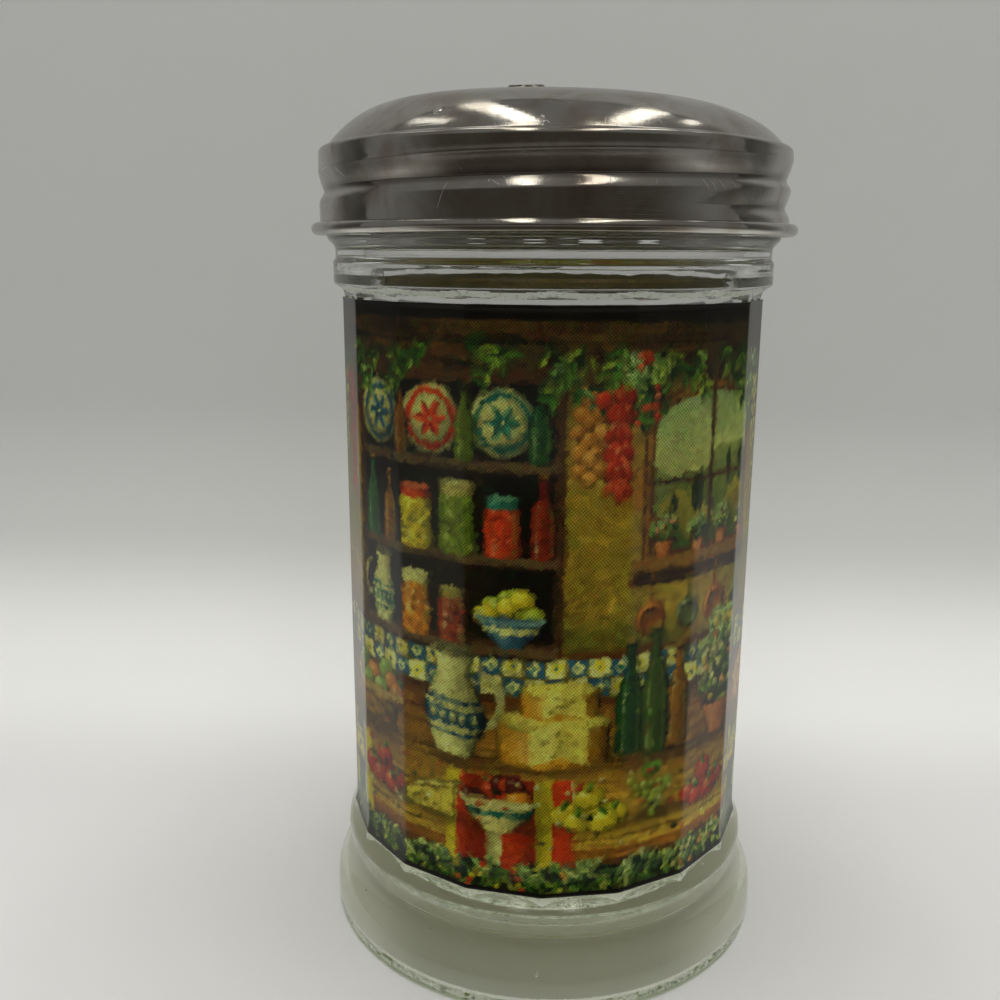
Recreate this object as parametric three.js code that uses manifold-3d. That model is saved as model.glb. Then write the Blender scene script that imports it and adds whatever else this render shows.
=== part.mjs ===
// Glass cheese shaker with a picture wrap and a perforated screw cap.
// Millimetres, +Z up. It stands on z = 0 round the Z axis, and its front faces -Y.
// Angles are in degrees from the front, and grow towards +X.

import * as THREE from 'three';
import { mergeVertices } from 'three/addons/utils/BufferGeometryUtils.js';
import Module from 'manifold-3d';

// Jar body
const panelCount = 18;
const panelRadius = 35.0;
const panelLength = 89.3;
const panelFootFlare = 5.75;
const panelFootReach = 3.75;
const panelTopFlare = 2.8;
const panelTopReach = 2.3;

// Jar foot
const heelStep = 4.4;
const heelHeight = 4.0;
const heelRound = 1.4;
const bearingWidth = 3.4;
const pushUpHeight = 3.0;
const pushUpStep = 0.4;
const flankRise = 8.0;
const footRingStep = 1.95;
const footRingRise = 3.1;
const footRingUnderRound = 8.9;
const footRingUpperRound = 3.9;
const footRingToPanel = 6.2;
const footRingOverlap = 3.6;

// Jar shoulder, collar and neck
const shoulderStep = 1.85;
const shoulderRound = 1.6;
const shoulderHeight = 4.4;
const shoulderGrooveDepth = 0.4;
const shoulderGrooveWidth = 1.0;
const collarStep = 2.8;
const collarFoot = 1.6;
const collarHeight = 2.8;
const collarEdge = 0.55;
const neckFillet = 0.9;
const neckWall = 3.5;
const neckHeight = 13.3;
const lipRound = 1.6;
const floorThickness = 5.4;
const floorCorner = 6.0;

// Picture wrap
const wrapThickness = 0.3;
const wrapGap = 0.15;
const wrapFootInset = 2.7;
const wrapTopPast = 0.4;

// Screw cap
const capSheet = 0.5;
const capClearance = 0.45;
const capSeatGap = 0.3;
const capShoulderStep = 1.55;
const capShoulderRound = 1.2;
const crownCurve = 150;
const knuckleRound = 17;
const knuckleReach = 13.25;
const skirtLength = 12.96;
const curlRound = 0.75;
const curlTurn = 290;

// Thread shared by the cap and the neck
const threadPitch = 4.23;
const threadGrooveDepth = 0.8;
const threadGrooveWidth = 3.0;
const threadGrooveRise = 6.1;
const threadGrooveStart = -340;
const threadGrooveEnd = 120;
const threadRunOut = 40;
const threadHemMargin = 0.7;
const threadClearance = 0.35;
const threadHeight = 1.8;
const threadRoot = 2.6;
const threadCrest = 1.0;
const threadSink = 0.4;
const threadStart = -285;
const threadEnd = 60;

// Perforation: a centre hole and two rings on a hexagonal grid
const holeRadius = 2.5;
const holePitch = 12.35;
const holeTurn = -11;
const holeRingShare = [1, Math.sqrt(3)];
const holeRingTurn = [30, 0];
const holesPerRing = 6;

// Mesh fineness, and how far a cutter runs past what it cuts
const roundSteps = 52;
const boreSteps = 36;
const threadSteps = 38;
const holeSides = 12;
const skirtRows = 12;
const overrun = 2;

// Heights of the jar, from the foot up
const waistHeight = heelHeight + flankRise;
const footRingHeight = waistHeight + footRingRise;
const panelLow = footRingHeight + footRingToPanel;
const panelHigh = panelLow + panelLength;
const shoulderLow = panelHigh + panelTopReach;
const shoulderHigh = shoulderLow + shoulderHeight;
const collarLow = shoulderHigh + shoulderGrooveWidth;
const collarHigh = collarLow + collarHeight;
const lipCentre = collarHigh + neckHeight + 2 * collarEdge;

// Radii that follow one another, from the panels to the cap and back to the neck
const heelRadius = panelRadius + heelStep;
const footRingRadius = panelRadius + footRingStep;
const shoulderRadius = panelRadius + shoulderStep;
const collarRadius = panelRadius + collarStep;
const skirtInside = collarRadius + capClearance;
const capRadius = skirtInside + capSheet;
const threadCrestRadius = skirtInside - threadGrooveDepth - threadClearance;
const neckRadius = threadCrestRadius - threadHeight;
const boreRadius = neckRadius - neckWall;

// The dome rests on the lip, which sets the cap's height
const domeRadius = capRadius - capShoulderStep;
const knuckleCentre = domeRadius - knuckleReach;
const seatReach = knuckleRound - capSheet - capSeatGap - lipRound;
const lipOffset = neckRadius - lipRound - knuckleCentre;
const knuckleHeight = lipCentre - Math.sqrt(seatReach ** 2 - lipOffset ** 2);
const creaseHeight = knuckleHeight + Math.sqrt(knuckleRound ** 2 - knuckleReach ** 2);
const crownReach = crownCurve - knuckleRound;
const crownCentre = knuckleHeight - Math.sqrt(crownReach ** 2 - knuckleCentre ** 2);
const capShoulderCentre = creaseHeight - Math.sqrt(
  capShoulderRound ** 2 - (capShoulderStep - capShoulderRound) ** 2);
const curlHeight = creaseHeight - skirtLength;

const wasm = await Module();
wasm.setup();

const radians = THREE.MathUtils.degToRad;
const degrees = THREE.MathUtils.radToDeg;

// Points along an arc in a profile, at angles from the outward direction
function arc(centreRadius, centreHeight, radius, from, to, steps) {
  const points = [];
  for (let i = 0; i <= steps; i += 1) {
    const angle = radians(from + (to - from) * i / steps);
    points.push([centreRadius + radius * Math.cos(angle), centreHeight + radius * Math.sin(angle)]);
  }
  return points;
}

// Points along a smooth S between two places, upright at both ends
function ess(from, to, steps) {
  const half = (to[1] - from[1]) / 2;
  const curve = new THREE.CubicBezierCurve(
    new THREE.Vector2(from[0], from[1]),
    new THREE.Vector2(from[0], from[1] + half),
    new THREE.Vector2(to[0], to[1] - half),
    new THREE.Vector2(to[0], to[1]));
  return curve.getPoints(steps).map((point) => [point.x, point.y]);
}

// A profile of radius and height pairs turned about Z
function revolve(profile, steps) {
  const points = profile.map(([radius, height]) => new THREE.Vector2(radius, height));
  return new THREE.LatheGeometry(points, steps).rotateX(Math.PI / 2);
}

// A closed geometry as a solid that can be joined and cut
function toSolid(geometry) {
  geometry.deleteAttribute('normal');
  geometry.deleteAttribute('uv');
  const merged = mergeVertices(geometry);
  const corners = merged.index.array;
  const triangles = [];
  for (let i = 0; i < corners.length; i += 3) {
    const [a, b, c] = corners.slice(i, i + 3);
    if (a !== b && b !== c && c !== a) {
      triangles.push(a, b, c);
    }
  }
  return new wasm.Manifold(new wasm.Mesh({
    numProp: 3,
    vertProperties: new Float32Array(merged.attributes.position.array),
    triVerts: new Uint32Array(triangles),
  }));
}

// A solid as a geometry with flat shading
function toGeometry(solid) {
  const mesh = solid.getMesh();
  const geometry = new THREE.BufferGeometry();
  geometry.setAttribute('position', new THREE.BufferAttribute(mesh.vertProperties, mesh.numProp));
  geometry.setIndex(new THREE.BufferAttribute(mesh.triVerts, 1));
  geometry.computeVertexNormals();
  return geometry;
}

function namedMesh(name, solid, material) {
  const mesh = new THREE.Mesh(toGeometry(solid), material);
  mesh.name = name;
  return mesh;
}

// Foot: pushed-up underside, bearing ring, rounded heel, flared flank and the ring above it
function footSolid() {
  const restOuter = heelRadius - heelRound;
  const restInner = restOuter - bearingWidth;
  const underCentre = footRingRadius - footRingUnderRound;
  const waistAngle = degrees(Math.asin(footRingRise / footRingUnderRound));
  const waistRadius = underCentre + footRingUnderRound * Math.cos(radians(waistAngle));
  const overAngle = degrees(Math.asin(footRingOverlap / footRingUpperRound));
  const profile = [
    [0, pushUpHeight],
    [restInner / 2, pushUpHeight - (pushUpHeight - pushUpStep) / 4],
    [restInner - pushUpStep, pushUpStep],
    [restInner, 0],
    ...arc(restOuter, heelRound, heelRound, -90, 0, 3),
    ...ess([heelRadius, heelHeight], [waistRadius, waistHeight], 5),
    ...arc(underCentre, footRingHeight, footRingUnderRound, -waistAngle, 0, 3).slice(1),
    ...arc(footRingRadius - footRingUpperRound, footRingHeight, footRingUpperRound, 0, overAngle, 4).slice(1),
    [0, footRingHeight + footRingOverlap],
  ];
  return toSolid(revolve(profile, roundSteps));
}

// The radius at the panels' corners, flared where they meet the foot ring
function footFlare(below) {
  return panelFootFlare - Math.sqrt(panelFootFlare ** 2 - below ** 2);
}

// Flat panels, flared out at both ends to meet the foot ring and the shoulder
function panelSolid() {
  const footSweep = degrees(Math.asin(panelFootReach / panelFootFlare));
  const topSweep = degrees(Math.asin(panelTopReach / panelTopFlare));
  const footCentre = panelRadius + panelFootFlare;
  const topCentre = panelRadius + panelTopFlare;
  const profile = [
    [0, panelLow - panelFootReach],
    ...arc(footCentre, panelLow, panelFootFlare, 180 + footSweep, 180, 5),
    ...arc(topCentre, panelHigh, panelTopFlare, 180, 180 - topSweep, 4),
    [panelRadius + panelTopFlare * (1 - Math.cos(radians(topSweep))), shoulderLow + shoulderRound],
    [0, shoulderLow + shoulderRound],
  ];
  return toSolid(revolve(profile, panelCount));
}

// Shoulder ring, the groove over it, the flared collar, the neck and the rounded lip
function topSolid() {
  const grooveHeight = shoulderHigh + shoulderGrooveWidth / 2;
  const edgeCentre = collarRadius - collarEdge;
  const profile = [
    [0, shoulderLow],
    ...arc(shoulderRadius - shoulderRound, shoulderLow + shoulderRound, shoulderRound, -90, 0, 4),
    [shoulderRadius, shoulderHigh],
    [shoulderRadius - shoulderGrooveDepth, grooveHeight],
    [panelRadius + collarFoot, collarLow],
    ...ess([panelRadius + collarFoot, collarLow], [collarRadius, collarHigh], 3).slice(1),
    ...arc(edgeCentre, collarHigh + collarEdge, collarEdge, 0, 90, 2),
    ...arc(neckRadius + neckFillet, collarHigh + 2 * collarEdge + neckFillet, neckFillet, 270, 180, 2),
    ...arc(neckRadius - lipRound, lipCentre, lipRound, 0, 90, 4),
    [0, lipCentre + lipRound],
  ];
  return toSolid(revolve(profile, roundSteps));
}

// Right-hand thread ridge on the neck, fading out at both ends
function threadSolid() {
  const base = curlHeight + threadGrooveRise + threadPitch / 2;
  const section = [
    [-threadSink, -threadRoot / 2],
    [threadHeight, -threadCrest / 2],
    [threadHeight, threadCrest / 2],
    [-threadSink, threadRoot / 2],
  ];
  const positions = [];
  const triangles = [];
  for (let i = 0; i <= threadSteps; i += 1) {
    const turn = threadStart + (threadEnd - threadStart) * i / threadSteps;
    const fade = Math.min(1, (turn - threadStart) / threadRunOut, (threadEnd - turn) / threadRunOut);
    for (const [reach, offset] of section) {
      const radius = neckRadius + (reach > 0 ? reach * fade : reach);
      positions.push(
        radius * Math.sin(radians(turn)),
        -radius * Math.cos(radians(turn)),
        base + threadPitch * turn / 360 + offset);
    }
  }
  const sides = section.length;
  for (let i = 0; i < threadSteps; i += 1) {
    for (let j = 0; j < sides; j += 1) {
      const a = i * sides + j;
      const b = i * sides + (j + 1) % sides;
      triangles.push(a, a + sides, b, b, a + sides, b + sides);
    }
  }
  const last = threadSteps * sides;
  triangles.push(0, 1, 2, 0, 2, 3, last, last + 2, last + 1, last, last + 3, last + 2);
  const geometry = new THREE.BufferGeometry();
  geometry.setAttribute('position', new THREE.Float32BufferAttribute(positions, 3));
  geometry.setIndex(triangles);
  return toSolid(geometry);
}

// The space inside the jar, from the floor out through the lip's inner round
function boreSolid() {
  const floorHeight = pushUpHeight + floorThickness;
  const mouthCentre = boreRadius + lipRound;
  const profile = [
    [0, floorHeight],
    ...arc(boreRadius - floorCorner, floorHeight + floorCorner, floorCorner, -90, 0, 5),
    ...arc(mouthCentre, lipCentre, lipRound, 180, 90, 4),
    [mouthCentre, lipCentre + lipRound + overrun],
    [0, lipCentre + lipRound + overrun],
  ];
  return toSolid(revolve(profile, boreSteps));
}

function makeJar() {
  return footSolid()
    .add(panelSolid())
    .add(topSolid())
    .add(threadSolid())
    .subtract(boreSolid());
}

// A thin sleeve with one flat for each panel, whose foot follows the panels' flare
function makeWrap() {
  const flats = Math.cos(Math.PI / panelCount);
  const inside = panelRadius + wrapGap / flats;
  const outside = inside + wrapThickness / flats;
  const levels = [wrapFootInset, wrapFootInset * 2 / 3, wrapFootInset / 3, 0];
  const profile = [
    ...levels.map((below) => [outside + footFlare(below), panelLow - below]),
    [outside, panelHigh + wrapTopPast],
    [inside, panelHigh + wrapTopPast],
    ...levels.toReversed().map((below) => [inside + footFlare(below), panelLow - below]),
    [outside + footFlare(wrapFootInset), panelLow - wrapFootInset],
  ];
  return toSolid(revolve(profile, panelCount));
}

// How deep the rolled thread presses the skirt in, at an angle and a height
function grooveDepth(angle, height) {
  let depth = 0;
  for (const turn of [angle - 360, angle]) {
    const runIn = (turn - threadGrooveStart) / threadRunOut;
    const runOut = (threadGrooveEnd - turn) / threadRunOut;
    const fade = THREE.MathUtils.smoothstep(Math.min(runIn, runOut), 0, 1);
    const centre = curlHeight + threadGrooveRise + threadPitch * turn / 360;
    const across = Math.min(1, Math.abs(height - centre) / (threadGrooveWidth / 2));
    depth = Math.max(depth, threadGrooveDepth * fade * (1 + Math.cos(Math.PI * across)) / 2);
  }
  const hem = curlHeight + threadHemMargin;
  return depth * THREE.MathUtils.smoothstep(height, hem, hem + threadHemMargin);
}

// Dome, knuckle, shoulder and skirt, one sheet thick, ending in an open curl
function capProfile() {
  const crownSweep = degrees(Math.atan2(knuckleCentre, knuckleHeight - crownCentre));
  const creaseSweep = degrees(Math.asin(knuckleReach / knuckleRound));
  const shoulderRadial = capRadius - capShoulderRound;
  const shoulderSweep = degrees(Math.acos((capShoulderRound - capShoulderStep) / capShoulderRound));
  const curlCentre = capRadius - capSheet / 2 + curlRound;
  const curlInner = curlRound - capSheet / 2;
  const curlOuter = curlRound + capSheet / 2;
  const rows = (radius) => {
    const points = [];
    for (let i = 1; i < skirtRows; i += 1) {
      points.push([radius, capShoulderCentre + (curlHeight - capShoulderCentre) * i / skirtRows]);
    }
    return points;
  };
  return [
    ...arc(0, crownCentre, crownCurve - capSheet, 90, 90 - crownSweep, 3),
    ...arc(knuckleCentre, knuckleHeight, knuckleRound - capSheet, 90 - crownSweep, 90 - creaseSweep, 5).slice(1),
    ...arc(shoulderRadial, capShoulderCentre, capShoulderRound - capSheet, shoulderSweep, 0, 2),
    ...rows(skirtInside),
    ...arc(curlCentre, curlHeight, curlOuter, 180, 180 + curlTurn, 9),
    ...arc(curlCentre, curlHeight, curlInner, 180 + curlTurn, 180, 6),
    ...rows(capRadius).toReversed(),
    ...arc(shoulderRadial, capShoulderCentre, capShoulderRound, 0, shoulderSweep, 4),
    ...arc(knuckleCentre, knuckleHeight, knuckleRound, 90 - creaseSweep, 90 - crownSweep, 6).slice(1),
    ...arc(0, crownCentre, crownCurve, 90 - crownSweep, 90, 3).slice(1),
  ];
}

// The cap's sheet with the thread rolled into its skirt
function capShell() {
  const geometry = revolve(capProfile(), roundSteps);
  const position = geometry.attributes.position;
  for (let i = 0; i < position.count; i += 1) {
    const x = position.getX(i);
    const y = position.getY(i);
    const radius = Math.hypot(x, y);
    const onSkirt = radius > skirtInside - threadClearance && radius < capRadius + curlRound / 2;
    if (onSkirt) {
      const angle = degrees(Math.atan2(x, -y));
      const share = 1 - grooveDepth(angle, position.getZ(i)) / radius;
      position.setXY(i, x * share, y * share);
    }
  }
  return toSolid(geometry);
}

// Upright punches for the perforation
function holePunches() {
  const height = crownCurve;
  const places = [[0, 0]];
  holeRingShare.forEach((ringShare, ring) => {
    for (let i = 0; i < holesPerRing; i += 1) {
      const turn = radians(holeTurn + holeRingTurn[ring] + 360 * i / holesPerRing);
      places.push([holePitch * ringShare * Math.sin(turn), -holePitch * ringShare * Math.cos(turn)]);
    }
  });
  return places.map(([x, y]) => toSolid(
    new THREE.CylinderGeometry(holeRadius, holeRadius, height, holeSides)
      .rotateX(Math.PI / 2)
      .translate(x, y, crownCentre + crownCurve)));
}

function makeCap() {
  return holePunches().reduce((cap, punch) => cap.subtract(punch), capShell());
}

const glass = new THREE.MeshStandardMaterial({
  color: 0xc9d2cb, roughness: 0.05, metalness: 0, transparent: true, opacity: 0.35,
});
const print = new THREE.MeshStandardMaterial({ color: 0xa8843a, roughness: 0.25, metalness: 0 });
const steel = new THREE.MeshStandardMaterial({ color: 0x9a978f, roughness: 0.3, metalness: 1 });

const shaker = new THREE.Group();
shaker.add(namedMesh('glass_jar', makeJar(), glass));
shaker.add(namedMesh('picture_wrap', makeWrap(), print));
shaker.add(namedMesh('screw_cap', makeCap(), steel));

export default shaker;
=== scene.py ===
# Glass cheese shaker: panelled jar, printed wrap and perforated steel screw cap.
# Sizes are in millimetres, and meshes are scaled to metres as they are made. Lamps, the camera
# and the masks of the floor are in metres. Angles are in degrees from the front, and grow towards +X.

import math

import bpy
import numpy as np
from mathutils import Matrix, Vector
from mathutils.geometry import delaunay_2d_cdt


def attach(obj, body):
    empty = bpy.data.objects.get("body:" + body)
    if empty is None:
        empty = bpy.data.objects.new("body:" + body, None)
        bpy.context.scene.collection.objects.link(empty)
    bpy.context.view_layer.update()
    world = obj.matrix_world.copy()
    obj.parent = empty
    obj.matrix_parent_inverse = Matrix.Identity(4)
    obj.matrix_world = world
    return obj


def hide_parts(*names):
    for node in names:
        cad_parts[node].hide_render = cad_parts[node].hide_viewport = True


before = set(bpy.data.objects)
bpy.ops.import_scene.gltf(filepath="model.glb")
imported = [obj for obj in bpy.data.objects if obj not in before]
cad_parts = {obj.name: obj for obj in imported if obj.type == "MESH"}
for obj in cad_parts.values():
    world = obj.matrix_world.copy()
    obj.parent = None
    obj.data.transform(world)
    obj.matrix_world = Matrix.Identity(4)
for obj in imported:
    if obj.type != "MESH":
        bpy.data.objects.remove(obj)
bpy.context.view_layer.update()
mm = 0.001
scene = bpy.context.scene
scene.view_settings.view_transform = "Standard"
scene.cycles.max_bounces = scene.cycles.transmission_bounces = 24  # thick glass needs many
scene.cycles.glossy_bounces = scene.cycles.transparent_max_bounces = 16


# helpers for meshes and nodes

def arcPoints(centreRadius, centreHeight, radius, start, end, steps):
    turns = np.radians(np.linspace(start, end, steps + 1))
    return np.c_[centreRadius + radius * np.cos(turns), centreHeight + radius * np.sin(turns)]


def essPoints(low, high, steps):  # smooth S between two places, upright at both ends
    t = np.linspace(0, 1, steps + 1)[:, None]
    half = (high[1] - low[1]) / 2
    corners = [np.array(p, float) for p in (low, (low[0], low[1] + half), (high[0], high[1] - half), high)]
    weights = [(1 - t) ** 3, 3 * t * (1 - t) ** 2, 3 * t * t * (1 - t), t ** 3]
    return sum(w * c for w, c in zip(weights, corners))


def linePoints(low, high, steps):
    t = np.linspace(0, 1, steps + 1)[:, None]
    return np.array(low, float) * (1 - t) + np.array(high, float) * t


def joined(*runs):  # runs of a section joined end to end, each shared point once
    points = [runs[0]]
    for run in runs[1:]:
        gap = np.hypot(*(run[0] - points[-1][-1]))
        points.append(run[1:] if gap < 1e-6 else run)
    return np.concatenate(points)


def smoothStep(x, low=0.0, high=1.0):
    t = np.clip((x - low) / (high - low), 0, 1)
    return t * t * (3 - 2 * t)


def softMax(a, b, k):
    return 0.5 * (a + b + np.sqrt((a - b) ** 2 + k * k))


def smoothNoise(azimuth, height, seed, waves, longest, shortest):
    # a sum of seeded waves that closes round the axis; lengths are in degrees and millimetres
    rng = np.random.default_rng(seed)
    total = np.zeros(np.broadcast(azimuth, height).shape)
    for i in range(waves):
        length = longest * (shortest / longest) ** (i / max(1, waves - 1))
        around = int(round(360 / length * rng.uniform(0.6, 1.4)))
        rise = rng.uniform(-1, 1) * 2 * np.pi / (length * 0.62)
        phase = rng.uniform(0, 2 * np.pi)
        total += np.sin(np.radians(azimuth) * around + height * rise + phase) / (i + 1) ** 0.5
    return total / waves ** 0.5


def columnAngles(columns):
    return np.arange(columns) * 360 / columns


def turnedSection(section, columns):
    # radius, height and azimuth of a section's points at every column round the axis
    radius, height = (np.repeat(section[:, i:i + 1], columns, 1) for i in range(2))
    return radius, height, np.broadcast_to(columnAngles(columns), radius.shape)


def storeColour(piece, name, colours):
    # one colour at each point, which the material reads by its name
    layer = piece.data.color_attributes.new(name, "FLOAT_COLOR", "POINT")
    layer.data.foreach_set("color", np.c_[colours, np.ones(len(colours))].ravel().astype(np.float32))


def finishMesh(name, points, faces, materials, body):
    mesh = bpy.data.meshes.new(name)
    mesh.from_pydata(np.asarray(points) * mm, [], faces)
    mesh.validate()
    mesh.update()
    for material in materials:
        mesh.materials.append(material)
    mesh.shade_smooth()
    piece = bpy.data.objects.new(name, mesh)
    scene.collection.objects.link(piece)
    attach(piece, body)
    return piece


def ringQuads(rows, columns, first=0, loop=False):
    # quads between rows of points round the axis, facing out where the section runs upwards
    i = np.arange(rows if loop else rows - 1)[:, None]
    j = np.arange(columns)[None, :]
    above, beside = (i + 1) % rows, (j + 1) % columns
    quads = [i * columns + j, i * columns + beside, above * columns + beside, above * columns + j]
    return np.stack([np.broadcast_to(q, (len(i), columns)) for q in quads], -1).reshape(-1, 4) + first


def roundPoints(radius, height, azimuth):
    turn = np.radians(azimuth)
    return np.stack([radius * np.sin(turn), -radius * np.cos(turn), np.broadcast_to(height, radius.shape)], -1)


def node(tree, kind, settings=None, **links):
    # adds a node; settings are its properties, and links its sockets' values or sources
    made = tree.nodes.new(kind)
    for key, value in (settings or {}).items():
        setattr(made, key, value)
    for key, value in links.items():
        numbered = key[0] == "i" and key[1:].isdigit()  # i0 is the first socket
        socket = made.inputs[int(key[1:]) if numbered else key.replace("_", " ")]
        if isinstance(value, bpy.types.NodeSocket):
            tree.links.new(value, socket)
        else:
            socket.default_value = value
    return made


def mathNode(tree, operation, a, b=0.0, c=0.0):
    return node(tree, "ShaderNodeMath", {"operation": operation}, i0=a, i1=b, i2=c).outputs[0]


def product(tree, first, *others):
    for other in others:
        first = mathNode(tree, "MULTIPLY", first, other)
    return first


def greatest(tree, first, *others):
    for other in others:
        first = mathNode(tree, "MAXIMUM", first, other)
    return first


def vectorMath(tree, operation, a, b):
    return node(tree, "ShaderNodeVectorMath", {"operation": operation}, i0=a, i1=b).outputs[0]


def separated(tree, vector):
    return node(tree, "ShaderNodeSeparateXYZ", i0=vector).outputs


def objectPlace(tree):
    return node(tree, "ShaderNodeTexCoord").outputs["Object"]


def noiseAt(tree, place, scale, detail, roughness=0.5, distortion=0.0):
    return node(tree, "ShaderNodeTexNoise", None, Vector=place, Scale=scale, Detail=detail, Roughness=roughness,
                Distortion=distortion).outputs[0]


def mixColour(tree, share, a, b):
    return node(tree, "ShaderNodeMix", {"data_type": "RGBA"}, i0=share, i6=a, i7=b).outputs[2]


def remap(tree, value, fromLow, fromHigh, toLow=0.0, toHigh=1.0, kind="SMOOTHSTEP"):
    return node(tree, "ShaderNodeMapRange", {"interpolation_type": kind}, Value=value, From_Min=fromLow,
                From_Max=fromHigh, To_Min=toLow, To_Max=toHigh).outputs[0]


def startGroup(name, inputs, outputs):
    tree = bpy.data.node_groups.new(name, "ShaderNodeTree")
    kinds = {"value": "NodeSocketFloat", "colour": "NodeSocketColor", "vector": "NodeSocketVector"}
    for key, (kind, value) in inputs.items():
        socket = tree.interface.new_socket(key, in_out="INPUT", socket_type=kinds[kind])
        if value is not None:
            socket.default_value = value
    for key, kind in outputs.items():
        tree.interface.new_socket(key, in_out="OUTPUT", socket_type=kinds[kind])
    return tree, tree.nodes.new("NodeGroupInput"), tree.nodes.new("NodeGroupOutput")


def useGroup(tree, group, **links):
    return node(tree, "ShaderNodeGroup", {"node_tree": group}, **links)


def startMaterial(name):
    material = bpy.data.materials.new(name)
    material.use_nodes = True
    tree = material.node_tree
    tree.nodes.clear()
    return material, tree, tree.nodes.new("ShaderNodeOutputMaterial")


# effects that more than one material uses

def makeRoundCoordinates():
    # unrolls the object's coordinates: x along the girth, y up and z out, in millimetres
    tree, given, out = startGroup("Round coordinates", {"Girth radius": ("value", 36.0)},
                                  {"Vector": "vector", "Radius": "value", "Height": "value"})
    place = objectPlace(tree)
    parts = separated(tree, place)
    x, y, z = (product(tree, parts[i], 1 / mm) for i in range(3))
    turn = mathNode(tree, "ARCTAN2", x, product(tree, y, -1.0))
    girth = product(tree, turn, given.outputs["Girth radius"])
    squares = mathNode(tree, "ADD", product(tree, x, x), product(tree, y, y))
    radius = mathNode(tree, "SQRT", squares)
    vector = node(tree, "ShaderNodeCombineXYZ", i0=girth, i1=z, i2=radius).outputs[0]
    tree.links.new(vector, out.inputs["Vector"])
    tree.links.new(radius, out.inputs["Radius"])
    tree.links.new(z, out.inputs["Height"])
    return tree


def makeFineScratches():
    # thin marks of one direction where a warped, stretched noise crosses its middle
    tree, given, out = startGroup(
        "Fine scratches",
        {"Vector": ("vector", None), "Scale": ("value", 1.0), "Angle": ("value", 0.0),
         "Stretch": ("value", 12.0), "Thinness": ("value", 0.02), "Amount": ("value", 0.5)},
        {"Mask": "value"})
    turned = node(tree, "ShaderNodeVectorRotate", {"rotation_type": "Z_AXIS"}, Vector=given.outputs["Vector"],
                  Angle=given.outputs["Angle"]).outputs[0]
    shorter = mathNode(tree, "DIVIDE", 1.0, given.outputs["Stretch"])
    squeeze = node(tree, "ShaderNodeCombineXYZ", i0=shorter, i1=1.0, i2=1.0).outputs[0]
    drawn = vectorMath(tree, "MULTIPLY", turned, squeeze)
    lines = noiseAt(tree, drawn, given.outputs["Scale"], 1.0, 0.5)
    near = mathNode(tree, "ABSOLUTE", mathNode(tree, "SUBTRACT", lines, 0.5))
    thin = remap(tree, near, 0.0, given.outputs["Thinness"], 1.0, 0.0, "LINEAR")
    patches = noiseAt(tree, turned, 0.35, 2.0)
    least, most = (mathNode(tree, "SUBTRACT", level, given.outputs["Amount"]) for level in (0.72, 1.0))
    shown = remap(tree, patches, least, most, kind="LINEAR")
    tree.links.new(product(tree, thin, shown), out.inputs["Mask"])
    return tree


def makeHandledFilm():
    # greasy smears, as a mask for roughness
    tree, given, out = startGroup(
        "Handled film",
        {"Vector": ("vector", None), "Scale": ("value", 0.12), "Amount": ("value", 0.5)},
        {"Smear": "value"})
    warp = noiseAt(tree, given.outputs["Vector"], given.outputs["Scale"], 4.0, 0.6, 1.2)
    tree.links.new(product(tree, remap(tree, warp, 0.42, 0.68), given.outputs["Amount"]), out.inputs["Smear"])
    return tree


def letLampsThrough(tree, out, surface, colour):
    # lamp light passes on to what is behind the surface instead of stopping at it
    clear = node(tree, "ShaderNodeBsdfTransparent", None, Color=colour)
    shadowRay = tree.nodes.new("ShaderNodeLightPath").outputs["Is Shadow Ray"]
    shown = node(tree, "ShaderNodeMixShader", None, i0=shadowRay, i1=surface.outputs[0], i2=clear.outputs[0])
    tree.links.new(shown.outputs[0], out.inputs["Surface"])


roundCoordinates = makeRoundCoordinates()
fineScratches = makeFineScratches()
handledFilm = makeHandledFilm()
print("shared effects ready")


# glass jar

threadPitch = 4.23  # shared by the neck's ridge and the cap's groove

jarLook = {
    "tint": (0.84, 0.88, 0.70, 1.0),
    "tintDensity": 6.0,
    "refraction": 1.515,
    "roughness": 0.012,
    "throughLight": (0.93, 0.95, 0.93, 1.0),
    "frostLight": (0.90, 0.94, 0.85, 1.0),
    "frostDark": (0.34, 0.42, 0.31, 1.0),
    "frostThroughLight": (0.8, 0.83, 0.8, 1.0),
    # the underside's two colours: darker for painted shade under the jar's middle, paler for painted light towards
    # its left and right sides
    "underside": (0.57, 0.59, 0.515, 1.0),
    "undersidePaintedLight": (0.93, 0.94, 0.86, 1.0),
    "columns": 720,
    "undersideRadius": 34.2, "undersideHeight": 3.0, "restInner": 34.6, "restOuter": 38.0, "knurlDepth": 0.32,
    "heelRadius": 39.4, "heelHeight": 4.0, "waistRadius": 36.39, "waistHeight": 12.0,
    "ringRadius": 36.95, "ringHeight": 15.1, "ringRound": 1.7, "ringBelly": 8.9,
    "panelRadius": 35.0, "panelCount": 18, "panelLow": 21.3, "panelHigh": 110.6, "ridgeRound": 2.4,
    "footFlare": 9.0, "topFlare": 5.0,
    "slopeRadius": 34.76, "slopeHeight": 112.3, "slopeRate": 1.5,
    "shoulderRadius": 36.85, "shoulderHigh": 117.3, "throatRadius": 36.42,
    "collarFoot": (36.45, 118.95), "collarRadius": 37.8, "collarHeight": 121.5, "collarRound": 0.55,
    "neckRadius": 35.3, "neckFoot": 123.1, "ridgeReach": 1.8, "ridgeHeight": 130.535,
    "boreRadius": 31.8, "lipHeight": 135.5, "lipRound": 1.6,
    "floorHeight": 8.4, "floorRound": 9.5,
    "wallWaviness": 0.07, "shoulderThickness": 0.68,
}


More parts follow.
